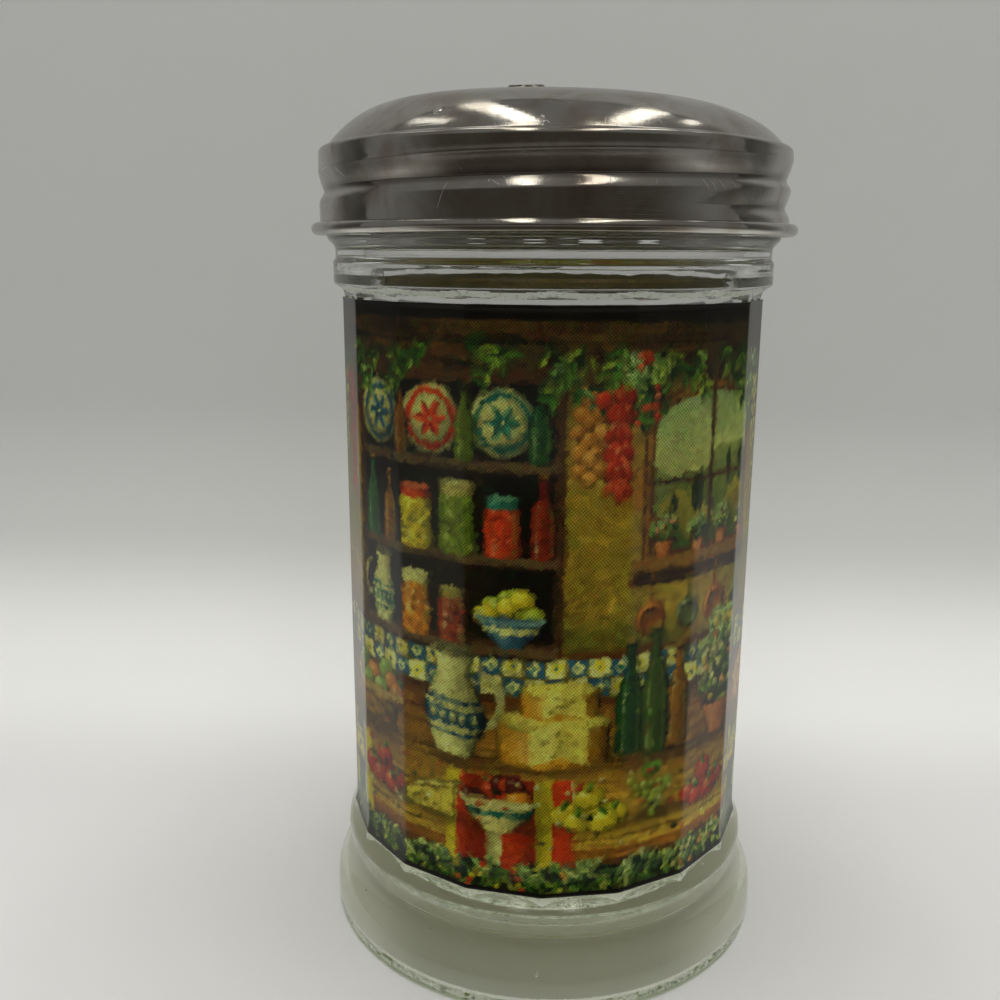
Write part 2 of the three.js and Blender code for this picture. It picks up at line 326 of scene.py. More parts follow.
def footRingRadius(height):  # a rounded edge below a ledge that slopes up to the panels
    edgeLow, ledgeLow, ledgeSlope = 0.3, 1.5, 0.92
    above = height - jarLook["ringHeight"]
    rise = np.clip(above - edgeLow, 0, ledgeLow - edgeLow)
    edge = jarLook["ringRadius"] - jarLook["ringRound"] + np.sqrt(jarLook["ringRound"] ** 2 - rise ** 2)
    up = above - ledgeLow
    return np.where(up < 0, edge, jarLook["ringRadius"] - 0.5 - ledgeSlope * up)


def shoulderFoot(height):  # the slope under the shoulder, which the panels run into
    slope = jarLook["slopeRadius"] + jarLook["slopeRate"] * (height - jarLook["slopeHeight"])
    return -softMax(-slope, -jarLook["shoulderRadius"], 0.12)


def panelCorner(height):  # the radius at the ridges, flared at both ends
    below = np.clip(jarLook["panelLow"] - height, 0, 4.6)
    above = np.clip(height - jarLook["panelHigh"], 0, 2.3)
    flare = jarLook["footFlare"] - np.sqrt(jarLook["footFlare"] ** 2 - below ** 2)
    return jarLook["panelRadius"] + flare + jarLook["topFlare"] - np.sqrt(jarLook["topFlare"] ** 2 - above ** 2)


def panelShape(corner, azimuth, ridgeRound):
    # flats with softly rounded ridges between them; a ridge faces the front
    half = 180 / jarLook["panelCount"]
    sine, cosine = math.sin(math.radians(half)), math.cos(math.radians(half))
    off = np.abs((azimuth + half) % (2 * half) - half)  # from the nearest ridge
    flat = corner * cosine / np.cos(np.radians(half - off))
    centre = (corner * cosine - ridgeRound) / cosine
    side = np.minimum(centre * np.sin(np.radians(off)), ridgeRound)
    ridge = centre * np.cos(np.radians(off)) + np.sqrt(ridgeRound ** 2 - side ** 2)
    touch = np.degrees(np.arctan2(ridgeRound * sine, centre + ridgeRound * cosine))
    return np.where(off < touch, ridge, flat)


def threadRidge(azimuth, height):
    # how far the coarse thread stands off the neck
    reach = np.zeros(np.broadcast(azimuth, height).shape)
    for turn in (azimuth - 360, azimuth):
        fade = smoothStep(np.minimum((turn + 285) / 40, (60 - turn) / 40))
        off = np.abs(height - (jarLook["ridgeHeight"] + threadPitch * turn / 360))
        reach = np.maximum(reach, jarLook["ridgeReach"] * fade * smoothStep(1.3 - off, 0, 0.85))
    return reach


def stippleField(shape):
    # seeded noise of about one millimetre that closes round the foot, spread 1
    waves = np.fft.rfft2(np.random.default_rng(8).normal(size=shape))
    rate = np.fft.fftfreq(shape[0])[:, None] ** 2 * 5.2 + np.fft.rfftfreq(shape[1])[None, :] ** 2 * 2.6
    field = np.fft.irfft2(waves * np.exp(-9 * rate), s=shape)
    return field / field.std()


def makeJarSection():
    # from under the foot up the outside, over the lip and down the bore
    s = jarLook
    under = np.linspace(0, s["undersideRadius"], 15)[1:]
    hollow = s["undersideHeight"] - 2.6 * (under / s["undersideRadius"]) ** 2
    heelRound = s["heelRadius"] - s["restOuter"]
    ringEdge = np.linspace(15.1, 16.6, 14)
    # rows stand close where the panels meet the foot ring and the shoulder
    panelRows = np.concatenate([np.arange(16.66, 18.5, 0.07), np.linspace(18.6, s["panelLow"], 12),
                                np.linspace(25, 108, 16), np.arange(s["panelHigh"], 114.7, 0.1)])
    shoulder, throat, collar = s["shoulderRadius"], s["throatRadius"], s["collarRadius"]
    collarTop = s["collarHeight"] + 0.15
    collarEdge, neck, bore, lip = collar - s["collarRound"], s["neckRadius"], s["boreRadius"], s["lipHeight"]
    floorRound, floorTop = s["floorRound"], s["floorHeight"] + s["floorRound"]
    return joined(
        np.c_[under, hollow],
        linePoints((s["undersideRadius"], 0.4), (s["restInner"], 0.06), 3),
        linePoints((s["restInner"], 0.0), (s["restOuter"], 0.0), 17),
        arcPoints(s["restOuter"], heelRound, heelRound, -90, 0, 14),
        linePoints((s["heelRadius"], heelRound), (s["heelRadius"], s["heelHeight"]), 8),
        essPoints((s["heelRadius"], s["heelHeight"]), (s["waistRadius"], s["waistHeight"]), 26),
        arcPoints(s["ringRadius"] - s["ringBelly"], s["ringHeight"], s["ringBelly"], -20.39, 0, 12),
        np.c_[footRingRadius(ringEdge), ringEdge],
        np.c_[np.full(len(panelRows), s["panelRadius"]), panelRows],
        linePoints((shoulder, 114.8), (shoulder, 116.9), 8),
        essPoints((shoulder, 116.9), (throat, 118.1), 10),
        linePoints((throat, 118.1), s["collarFoot"], 4),
        essPoints(s["collarFoot"], (collar, s["collarHeight"]), 16),
        linePoints((collar, s["collarHeight"]), (collar, collarTop), 1),
        arcPoints(collarEdge, collarTop, s["collarRound"], 0, 90, 8),
        linePoints((collarEdge, 122.2), (neck + 0.9, 122.2), 4),
        arcPoints(neck + 0.9, s["neckFoot"], 0.9, 270, 180, 6),
        linePoints((neck, s["neckFoot"]), (neck, lip), 50),
        arcPoints(neck - s["lipRound"], lip, s["lipRound"], 0, 90, 10),
        arcPoints(bore + s["lipRound"], lip, s["lipRound"], 90, 180, 8),
        linePoints((bore, lip), (bore, floorTop), 46),
        arcPoints(bore - floorRound, floorTop, floorRound, 0, -90, 16),
        np.c_[np.linspace(20, 1.6, 8), np.full(8, s["floorHeight"])],
    )


def makeJarPoints():
    section = makeJarSection()
    radius, height, az = turnedSection(section, jarLook["columns"])
    row = np.arange(len(section))[:, None]
    lipRow = np.argmax(section[:, 1] > 137.05)
    outside = row <= lipRow

    # panels, with their scalloped meetings at the foot ring and the shoulder
    panels = outside & (height > 16.63) & (height < 114.75)
    shape = panelShape(panelCorner(height), az, jarLook["ridgeRound"])
    foot = footRingRadius(height)
    low = softMax(shape, foot, 0.03)
    high = softMax(shape, shoulderFoot(height), 0.06)
    mixed = np.where(height < 19.2, low, np.where(height > 112.6, high, shape))
    radius = np.where(panels, mixed, radius)

    # thread ridge
    neck = outside & (height > 123.2) & (height < 135.4)
    radius = np.where(neck, radius + threadRidge(az, height), radius)

    # stippled bearing ring and heel
    bearing = outside & (height < 1.3) & (radius > 34.5)
    bumps = smoothStep(stippleField(az.shape), -0.35, 0.9)
    lift = jarLook["knurlDepth"] * bumps * smoothStep(radius, 34.5, 35.0) * smoothStep(1.3 - height, 0, 0.9)
    height = np.where(bearing, height + lift * (1 - 0.5 * smoothStep(height, 0.1, 1.0)), height)

    # slow waves of pressed glass, on the inner wall and the free outer surfaces
    wave = smoothNoise(az, height, 11, 9, 120, 14)
    inner = ~outside & (height > 12) & (height < 135)
    thicker = jarLook["shoulderThickness"] * smoothStep(jarLook["shoulderHigh"] - height, 0, 5.0)
    radius = np.where(inner, radius - jarLook["wallWaviness"] * (1 + wave) - thicker, radius)
    free = outside & (((height > 4) & (height < 16)) | ((height > 114.8) & (height < 116.8)))
    radius = np.where(free, radius - 0.025 * (1 + smoothNoise(az, height, 12, 8, 60, 8)), radius)
    floorWave = 0.05 * (1 + smoothNoise(az, radius, 13, 6, 90, 25)) * smoothStep(radius, 0, 12)
    height = np.where(~outside & (height < 8.6), height + floorWave, height)
    return roundPoints(radius, height, az)


def makeBubbles(places):
    # air bubbles in the glass, each a closed drop whose faces look into it
    points, faces = [], []
    for azimuth, radius, height, across, tall, lean in places:
        rows, columns = 9, 12
        start = sum(len(p) for p in points)
        v = np.linspace(-1, 1, rows)[1:-1, None] * np.ones(columns)
        turn = np.radians(np.arange(columns) * 360 / columns)[None, :]
        width = across * np.sqrt(1 - v * v) * (1 - 0.35 * v)
        x, y = width * np.cos(turn) + lean * v * tall, width * np.sin(turn) * 0.6
        local = np.stack([x, y, v * tall], -1).reshape(-1, 3)
        local = np.concatenate([local, [[-lean * tall, 0, -tall], [lean * tall, 0, tall]]])
        spin = Matrix.Rotation(math.radians(azimuth), 3, "Z")
        local = local @ np.array(spin).T + roundPoints(np.array([radius]), height, np.array([azimuth]))
        points.append(local)
        quads = ringQuads(rows - 2, columns, start)[:, ::-1].tolist()
        low = start + (rows - 2) * columns
        high, last = low + 1, low - columns
        caps = [[low, start + j, start + (j + 1) % columns] for j in range(columns)]
        caps += [[high, last + (j + 1) % columns, last + j] for j in range(columns)]
        faces += quads + caps
    return np.concatenate(points), faces


def makeGlass():
    material, tree, out = startMaterial("Pressed glass")
    unrolled = useGroup(tree, roundCoordinates, Girth_radius=37.0)
    place = unrolled.outputs["Vector"]
    # fire-polished skin with fine stipple on the foot ring and the heel
    stipple = noiseAt(tree, place, 2.6, 2.0, 0.6)
    ringZone = product(tree, remap(tree, unrolled.outputs["Height"], 12.6, 14.2),
                       remap(tree, unrolled.outputs["Height"], 18.2, 19.4, 1.0, 0.0))
    heelZone = remap(tree, unrolled.outputs["Height"], 3.6, 4.6, 0.7, 0.0)
    slow = noiseAt(tree, place, 0.22, 3.0)
    zone = mathNode(tree, "ADD", product(tree, ringZone, 0.8), heelZone)
    stippled = product(tree, stipple, mathNode(tree, "ADD", zone, 0.05))
    rough = mathNode(tree, "ADD", stippled, product(tree, slow, 0.9))
    bump = node(tree, "ShaderNodeBump", None, Strength=0.35, Distance=0.00006, Height=rough).outputs[0]
    surface = node(tree, "ShaderNodeBsdfPrincipled", None, Base_Color=(1, 1, 1, 1), Metallic=0.0,
                   Roughness=jarLook["roughness"], IOR=jarLook["refraction"], Transmission_Weight=1.0, Normal=bump)
    tint = node(tree, "ShaderNodeVolumeAbsorption", None, Color=jarLook["tint"], Density=jarLook["tintDensity"])
    letLampsThrough(tree, out, surface, jarLook["throughLight"])
    tree.links.new(tint.outputs[0], out.inputs["Volume"])
    return material


def makeStippledGlass():
    # the frosted underside and the ring of small knobs that the jar stands on
    material, tree, out = startMaterial("Stippled glass")
    unrolled = useGroup(tree, roundCoordinates, Girth_radius=37.0)
    radius = unrolled.outputs["Radius"]
    grain = noiseAt(tree, unrolled.outputs["Vector"], 1.0, 2.0, 0.55)
    tall = remap(tree, unrolled.outputs["Height"], 4.0, 5.0, 1.0, 0.0)
    knobs = product(tree, remap(tree, grain, 0.50, 0.58), remap(tree, radius, 35.2, 36.2), tall)
    specks = product(tree, remap(tree, grain, 0.56, 0.62, 0.0, 0.5), mathNode(tree, "SUBTRACT", 1.0, tall))
    colour = mixColour(tree, greatest(tree, knobs, specks), jarLook["frostLight"], jarLook["frostDark"])
    edge = product(tree, remap(tree, radius, 33.9, 34.2), remap(tree, radius, 34.5, 34.8, 1.0, 0.0))
    flat = product(tree, remap(tree, radius, 33.9, 34.2, 1.0, 0.0), tall)
    # under the jar the frosted underside is darker in the middle, as painted shade, and paler towards the left and
    # right sides, as painted light
    sideways = mathNode(tree, "ABSOLUTE", separated(tree, objectPlace(tree))[0])
    paintedUndersideShading = mixColour(tree, remap(tree, sideways, 0.017, 0.032), jarLook["underside"], jarLook["undersidePaintedLight"])
    colour = mixColour(tree, edge, colour, (1.0, 1.0, 1.0, 1.0))
    colour = mixColour(tree, flat, colour, paintedUndersideShading)
    surface = node(tree, "ShaderNodeBsdfPrincipled", None, Base_Color=colour, Metallic=0.0, Roughness=0.55,
                   IOR=jarLook["refraction"], Transmission_Weight=0.45)
    tint = node(tree, "ShaderNodeVolumeAbsorption", None, Color=jarLook["tint"], Density=jarLook["tintDensity"])
    letLampsThrough(tree, out, surface, jarLook["frostThroughLight"])
    tree.links.new(tint.outputs[0], out.inputs["Volume"])
    return material


glassMaterial = makeGlass()
jarPoints = makeJarPoints()
rows, columns = jarPoints.shape[:2]
poles = [[0, 0, jarLook["undersideHeight"]], [0, 0, jarLook["floorHeight"]]]
allPoints = np.concatenate([jarPoints.reshape(-1, 3), poles])
lowPole, floorPole, lastRow = rows * columns, rows * columns + 1, (rows - 1) * columns
around = np.arange(columns)
faces = ringQuads(rows, columns).tolist()
faces += [[lowPole, int((j + 1) % columns), int(j)] for j in around]
faces += [[floorPole, int(lastRow + j), int(lastRow + (j + 1) % columns)] for j in around]
bubblePoints, bubbleFaces = makeBubbles([  # azimuth, radius, height, half width, half height and lean
    (-0.8, 36.6, 5.6, 0.28, 0.75, 0.1), (-7.6, 36.9, 6.3, 0.16, 0.22, 0.3), (9.5, 36.2, 6.9, 0.22, 0.16, 0.5),
    (-30, 36.4, 9.4, 0.14, 0.2, 0.0), (24, 35.8, 11.0, 0.12, 0.15, 0.2), (52, 34.2, 16.0, 0.2, 0.26, 0.0),
    (-58, 36.0, 7.4, 0.18, 0.3, 0.1), (130, 36.4, 8.0, 0.2, 0.3, 0.1), (-140, 35.6, 10.0, 0.15, 0.2, 0.0)])
offset = len(allPoints)
faces += [[v + offset for v in face] for face in bubbleFaces]
glassJar = finishMesh("glassJar", np.concatenate([allPoints, bubblePoints]), faces,
                      [glassMaterial, makeStippledGlass()], "jar")

# faces of the stippled glass: the underside, the rest ring and two satin bands where the panels meet them
section = np.hypot(jarPoints[:, 0, 0], jarPoints[:, 0, 1])
low = jarPoints[:-1, :, 2].min(1)
stippled = ((low < 0.85) | (section[:-1] < 34.3)) & (low < 3.05) & (np.arange(rows - 1) < 60)
spread, level = np.hypot(jarPoints[:-1, :, 0], jarPoints[:-1, :, 1]), jarPoints[:-1, :, 2]
satin = (level > 16.7) & (level < 18.85) & (spread > footRingRadius(level) + 0.05) & (spread > 33.0)
panelEdge = panelShape(panelCorner(112.6), columnAngles(columns), jarLook["ridgeRound"])
meeting = jarLook["slopeHeight"] + (panelEdge - jarLook["slopeRadius"]) / jarLook["slopeRate"]
satin |= (level > meeting - 0.05) & (level < meeting + 0.85) & (spread > 34.2) & (level < 113.75)
underside = np.concatenate([(stippled[:, None] | satin).ravel(), np.ones(columns, bool),
                            np.zeros(len(faces) - rows * columns, bool)])
glassJar.data.polygons.foreach_set("material_index", underside.astype(np.int32))
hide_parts("glass_jar")
print("glass jar:", rows, "rows of", columns)


# printed wrap

pictureUnit = 1.3  # millimetres to one unit of the picture's own layout

wrapLook = {
    "low": 18.6, "high": 111.0, "frontRise": 0.65, "inside": 35.152, "outside": 35.457,
    "girth": 221.7 / pictureUnit, "tall": 92.4 / pictureUnit, "columns": 828, "rows": 344,
    "coat": 0.72, "gloss": 0.06, "paperRoughness": 0.4, "throughLight": (0.72, 0.68, 0.56, 1.0),
    "screenAngles": (15.0, 75.0, 40.0), "blackAngle": 4.0, "screenPitch": 0.57, "blackScreen": 0.5,
    "colourScreen": 0.35,
    "level": (0.87, 0.93, 0.56), "shoulder": 0.2,
    "backing": (0.80, 0.74, 0.50),
    "border": (0.05, 0.043, 0.027),
    "plaster": (0.66, 0.51, 0.20),
    "plasterDeep": (0.47, 0.35, 0.12),
    "olive": (0.38, 0.40, 0.15),
    "rust": (0.66, 0.33, 0.12),
    "tableTop": (0.78, 0.58, 0.22),
    "tableEdge": (0.50, 0.28, 0.10),
    "deep": (0.035, 0.032, 0.012),
    "bottle": (0.09, 0.22, 0.12),
    "cream": (0.88, 0.83, 0.64),
    "teal": (0.12, 0.36, 0.42),
    "blue": (0.15, 0.30, 0.55),
    "tomato": (0.80, 0.20, 0.09),
    "lemon": (0.90, 0.76, 0.18),
    "orange": (0.88, 0.47, 0.12),
    "clay": (0.70, 0.36, 0.17),
    "amber": (0.52, 0.30, 0.06),
    "cork": (0.62, 0.44, 0.2),
    "darkWood": (0.24, 0.13, 0.06),
    "leaves": [(0.16, 0.30, 0.10), (0.26, 0.40, 0.12), (0.42, 0.50, 0.18), (0.10, 0.20, 0.09), (0.56, 0.58, 0.28)],
    "seed": 41,
}


def tone(colour, amount):
    # above 0 lighter, below 0 darker
    colour = np.array(colour, float)
    return colour + (1 - colour) * amount if amount > 0 else colour * (1 + amount)


def cloud(rng, shape, sizeU, sizeV):
    # smoothed noise that closes round the girth, spread 1
    pitchU, pitchV = wrapLook["girth"] / shape[1], wrapLook["tall"] / shape[0]
    waves = np.fft.rfft2(rng.normal(size=shape))
    fv = np.fft.fftfreq(shape[0])[:, None] / pitchV * sizeV
    fu = np.fft.rfftfreq(shape[1])[None, :] / pitchU * sizeU
    field = np.fft.irfft2(waves * np.exp(-2 * (fu ** 2 + fv ** 2)), s=shape)
    return field / field.std()


class Canvas:
    # a picture on a grid that closes round the girth
    def __init__(self, rows, columns, rng):
        self.paint = np.zeros((rows, columns, 3))
        self.rng = rng
        self.stepU = wrapLook["girth"] / columns
        self.stepV = wrapLook["tall"] / (rows - 1)

    def window(self, u, v, wide, tall):
        rows, columns = self.paint.shape[:2]
        j = np.arange(math.floor((u - wide) / self.stepU), math.ceil((u + wide) / self.stepU) + 1)
        i = np.arange(max(0, math.floor((v - tall) / self.stepV)),
                      min(rows, math.ceil((v + tall) / self.stepV) + 1))
        return np.ix_(i, j % columns), j[None, :] * self.stepU - u, i[:, None] * self.stepV - v

    def lay(self, where, cover, colour):
        cover = np.clip(cover, 0, 1)[..., None]
        self.paint[where] = self.paint[where] * (1 - cover) + np.clip(colour, 0, 1) * cover

    def edge(self, inside):  # a soft edge about one grid step wide
        return np.clip(inside / self.stepU + 0.5, 0, 1)

    def box(self, uLow, uHigh, vLow, vHigh, colour, soft=0.0):
        where, x, y = self.window((uLow + uHigh) / 2, (vLow + vHigh) / 2, (uHigh - uLow) / 2 + 1 + soft,
                                  (vHigh - vLow) / 2 + 1 + soft)
        inside = np.minimum((uHigh - uLow) / 2 - np.abs(x), (vHigh - vLow) / 2 - np.abs(y))
        self.lay(where, np.clip(inside / max(soft, self.stepU) + 0.5, 0, 1), colour)

    def ball(self, u, v, wide, tall, colour, turn=0.0, light=0.3, gloss=0.5, line=0.45):
        # a rounded form lit from the upper left, with a drawn outline and a touch of light
        reach = max(wide, tall) + 0.6
        where, x, y = self.window(u, v, reach, reach)
        c, s = math.cos(turn), math.sin(turn)
        a, b = (x * c + y * s) / wide, (-x * s + y * c) / tall
        d = np.sqrt(a * a + b * b)
        side = (-x * 0.6 + y * 0.8) / max(wide, tall)
        shade = 1 + light * side * 1.3 - 0.22 * d ** 3 + 0.07 * self.rng.normal(size=d.shape)
        body = np.array(colour) * shade[..., None]
        body = body * (1 - line * np.clip((d - 0.84) / 0.14, 0, 1)[..., None])
        self.lay(where, self.edge((1 - d) * min(wide, tall)), body)
        if gloss:
            spot = np.exp(-(((x + wide * 0.32) / (wide * 0.24)) ** 2 + ((y - tall * 0.38) / (tall * 0.2)) ** 2))
            self.lay(where, spot * gloss * (d < 0.9), tone(colour, 0.75))

    def leaf(self, u, v, long, wide, turn, colour):
        where, x, y = self.window(u, v, long * 0.62, long * 0.62)
        c, s = math.cos(turn), math.sin(turn)
        a, b = x * c + y * s, -x * s + y * c
        half = wide / 2 * np.sqrt(np.clip(1 - (2 * a / long) ** 2, 0, 1)) * (1 - 0.35 * a / long)
        body = np.array(colour) * (1 + 0.3 * np.sign(b) * (np.abs(b) > wide * 0.06))[..., None]
        self.lay(where, self.edge(half - np.abs(b)) * (half > 0), body)

    def stroke(self, points, width, colour):
        points = np.array(points, float)
        low, high = points.min(0), points.max(0)
        mid, reach = (low + high) / 2, (high - low) / 2 + width + 0.4
        where, x, y = self.window(mid[0], mid[1], reach[0], reach[1])
        best = np.full(np.broadcast(x, y).shape, 1e9)
        for p, q in zip(points[:-1] - mid, points[1:] - mid):
            d = q - p
            t = np.clip(((x - p[0]) * d[0] + (y - p[1]) * d[1]) / max(d @ d, 1e-9), 0, 1)
            best = np.minimum(best, np.hypot(x - p[0] - t * d[0], y - p[1] - t * d[1]))
        self.lay(where, self.edge(width / 2 - best), colour)

    def shape(self, points, colour, line=None):
        points = np.array(points, float)
        low, high = points.min(0), points.max(0)
        mid = (low + high) / 2
        where, x, y = self.window(mid[0], mid[1], *((high - low) / 2 + 0.6))
        x, y = np.broadcast_arrays(x + mid[0], y + mid[1])
        inside = np.zeros(x.shape, bool)
        for (x0, y0), (x1, y1) in zip(points, np.roll(points, -1, 0)):
            crosses = (y0 > y) != (y1 > y)
            inside ^= crosses & (x < (x1 - x0) * (y - y0) / (y1 - y0 + 1e-12) + x0)
        self.lay(where, inside * 1.0, np.array(colour) * (1 + 0.05 * self.rng.normal(size=x.shape))[..., None])
        if line is not None:
            self.stroke([*points, points[0]], 0.4, line)

    def vessel(self, u, v, profile, colour, glass=False, band=None, lip=True):
        # a turned form on its foot: pairs of height and half width
        heights, halves = np.array(profile, float).T
        tall, wide = heights[-1], halves.max()
        where, x, y = self.window(u, v + tall / 2, wide + 1, tall / 2 + 1)
        rise = y + tall / 2
        half = np.interp(rise.ravel(), heights, halves)[:, None] * np.ones(x.shape)
        sag = 0.16 * half * (1 - np.clip(x / np.maximum(half, 0.1), -1, 1) ** 2) ** 0.5  # round foot and mouth
        a = x / np.maximum(half, 0.05)
        shade = 1.0 + 0.30 * (-a) - 0.42 * np.abs(a) ** 3 + 0.06 * self.rng.normal(size=half.shape)
        body = np.array(colour) * shade[..., None]
        if band:
            for low, high, paint in band:
                on = ((rise + sag > low) & (rise + sag < high))[..., None]
                body = np.where(on, np.array(paint) * shade[..., None], body)
        body = body * (1 - 0.5 * np.clip((np.abs(a) - 0.88) / 0.1, 0, 1)[..., None])
        inside = np.minimum(half - np.abs(x), np.minimum(rise + sag, tall - rise))
        self.lay(where, self.edge(inside), body)
        narrow, strength = (0.10, 0.75) if glass else (0.2, 0.3)
        streak = np.exp(-((a + 0.48) / narrow) ** 2) * (inside > 0.4) * strength
        self.lay(where, streak * (0.7 + 0.3 * np.sin(rise * 1.1)), tone(colour, 0.7))
        if glass:
            farSide = np.exp(-((a - 0.62) / 0.12) ** 2) * (inside > 0.3) * 0.45
            self.lay(where, farSide, tone(wrapLook["leaves"][2], 0.1))
        if lip:
            self.ball(u, v + tall, halves[-1], max(0.45, halves[-1] * 0.26), tone(colour, -0.62), light=0.1,
                      gloss=0, line=-0.9)

    def sprig(self, u, v, long, turn, leaves, size, flower=None):
        rng = self.rng
        stem = [(u + long * t * math.cos(turn + 0.25 * t), v + long * t * math.sin(turn + 0.25 * t))
                for t in np.linspace(0, 1, 6)]
        self.stroke(stem, 0.35, tone(leaves[0], -0.3))
        for t in np.linspace(0.12, 1, max(4, int(long / size * 1.7))):
            x = u + long * t * math.cos(turn + 0.25 * t)
            y = v + long * t * math.sin(turn + 0.25 * t)
            for side in (-1, 1):
                angle = turn + side * rng.uniform(0.5, 1.0)
                colour = tone(leaves[rng.integers(len(leaves))], rng.uniform(-0.25, 0.2))
                self.leaf(x + size * 0.5 * math.cos(angle), y + size * 0.5 * math.sin(angle),
                          size * rng.uniform(0.8, 1.2), size * 0.42, angle, colour)
        if flower is not None:
            self.ball(stem[-1][0], stem[-1][1], size * 0.55, size * 0.55, flower, gloss=0.4)

    def bush(self, u, v, wide, tall, count, size, flowers=(), leaves=None):
        rng = self.rng
        leaves = leaves or wrapLook["leaves"]
        self.ball(u, v, wide * 0.86, tall * 0.86, tone(leaves[3 % len(leaves)], -0.35), light=0.1, gloss=0, line=0)
        for k in range(count):
            r, turn = math.sqrt(rng.uniform(0, 1)), rng.uniform(0, 2 * math.pi)
            x, y = wide * r * math.cos(turn), tall * r * math.sin(turn)
            lit = 0.30 * (-x / wide * 0.5 + y / tall) + 0.18 * k / count
            colour = leaves[rng.integers(len(leaves))]
            colour = tone(colour, float(np.clip(lit + rng.uniform(-0.2, 0.12), -0.6, 0.5)))
            self.leaf(u + x, v + y, size * rng.uniform(0.7, 1.35), size * rng.uniform(0.3, 0.5),
                      rng.uniform(0, math.pi), colour)
        for _ in range(len(flowers) and int(count * 0.22)):
            r, turn = math.sqrt(rng.uniform(0, 1)) * 0.95, rng.uniform(0, 2 * math.pi)
            colour = tone(flowers[rng.integers(len(flowers))], rng.uniform(-0.2, 0.25))
            self.ball(u + wide * r * math.cos(turn), v + tall * r * math.sin(turn), size * 0.3, size * 0.26, colour,
                      light=0.2, gloss=0.3, line=0.2)

    def string(self, u, top, count, size, colour, long=1.0):
        # a hanging string of bulbs or pods
        rng = self.rng
        self.stroke([(u, top + size * 2), (u, top - size)], 0.5, tone(wrapLook["plasterDeep"], -0.5))
        for k in range(count):
            for side in (-1, 1, 0):
                turn = side * 0.5 + rng.uniform(-0.25, 0.25)
                paint = tone(colour, rng.uniform(-0.22, 0.12))
                y = top - k * size * 1.25 * long ** 0.5 - (side == 0) * size * 0.5
                self.ball(u + side * size * rng.uniform(0.5, 0.8), y, size * rng.uniform(0.5, 0.62),
                          size * rng.uniform(0.55, 0.68) * long, paint, turn, gloss=0.45)
        for _ in range(5):
            self.leaf(u + rng.uniform(-1, 1) * size, top + size * rng.uniform(0.4, 1.8), size * 1.6, size * 0.35,
                      rng.uniform(0.8, 2.3), tone(wrapLook["leaves"][2], -0.2))

    def basket(self, u, v, wide, tall, colour=(0.62, 0.42, 0.16)):
        where, x, y = self.window(u, v + tall / 2, wide + 1, tall / 2 + 1.5)
        rise = y + tall / 2
        half = wide * (0.78 + 0.22 * np.clip(rise / tall, 0, 1)) * np.ones(x.shape)
        a = x / half
        sag = 0.10 * wide * np.sqrt(np.clip(1 - a * a, 0, 1))
        weave = np.sin((rise + sag) * 3.6) * np.sign(np.sin(np.arcsin(np.clip(a, -1, 1)) * wide * 1.1))
        shade = (1.0 - 0.25 * a - 0.35 * np.abs(a) ** 3) * (0.86 + 0.24 * weave)
        inside = np.minimum(half - np.abs(x), np.minimum(rise + sag, tall - rise))
        self.lay(where, self.edge(inside), np.array(colour) * shade[..., None])
        self.stroke([(u + t * wide * 1.02, v + tall - 0.10 * wide * math.sqrt(max(0, 1 - t * t)))
                     for t in np.linspace(-1, 1, 13)], 1.1, tone(colour, 0.18))
        self.stroke([(u + t * wide * 0.8, v - 0.10 * wide * math.sqrt(max(0, 1 - t * t)) + 0.5)
                     for t in np.linspace(-1, 1, 13)], 0.8, tone(colour, -0.45))

    def cloth(self, uLow, uHigh, top, low, colours, folds=5, stripe=3.2):
        # a striped cloth over an edge, with a scalloped hem
        mid, wide = (uLow + uHigh) / 2, (uHigh - uLow) / 2
        where, x, y = self.window(mid, (top + low) / 2, wide + 1, (top - low) / 2 + 2)
        x, y = np.broadcast_arrays(x, y + (top + low) / 2)
        wave = np.sin((x + wide) / (2 * wide) * np.pi * folds + 0.35 * np.sin(y * 0.4))
        k = ((x + 0.7 * wave + 0.10 * (y - low) * (x / wide)) // stripe).astype(int) % len(colours)
        body = np.array(colours)[k] * (0.86 + 0.22 * wave[..., None])
        hem = low + 1.1 * np.abs(np.sin((x + wide) / stripe * np.pi / 2)) - 0.8
        inside = np.minimum(np.minimum(wide - np.abs(x) + 0.5 * np.sin(y * 0.7), top - y), y - hem)
        self.lay(where, self.edge(inside), body)
        self.lay(where, np.clip(1 - np.abs(y - hem - 0.3) / 0.35, 0, 1) * (inside > -0.2), tone(colours[0], -0.5))

    def tiles(self, uLow, uHigh, low, high, size, colours):
        mid, wide = (uLow + uHigh) / 2, (uHigh - uLow) / 2
        where, x, y = self.window(mid, (low + high) / 2, wide, (high - low) / 2)
        x, y = np.broadcast_arrays(x + wide, y + (high - low) / 2)
        i, j = np.floor(x / size), np.floor(y / size)
        a, b = np.abs(x / size - i - 0.5), np.abs(y / size - j - 0.5)
        k = ((i + j) % 2).astype(int)
        body = np.array([colours[0], colours[1]])[k]
        body = np.where((a + b < 0.34)[..., None], np.array([colours[2], colours[0]])[k], body)
        body = np.where((a * a + b * b < 0.011)[..., None], np.array([colours[1], colours[3]])[k], body)
        body = body * (1 + 0.12 * np.sin(i * 12.9 + j * 78.2))[..., None]
        body = np.where((np.maximum(a, b) > 0.455)[..., None], np.array((0.34, 0.29, 0.16)), body)
        inside = np.minimum(np.minimum(x, 2 * wide - x), np.minimum(y, high - low - y))
        self.lay(where, self.edge(inside), body)

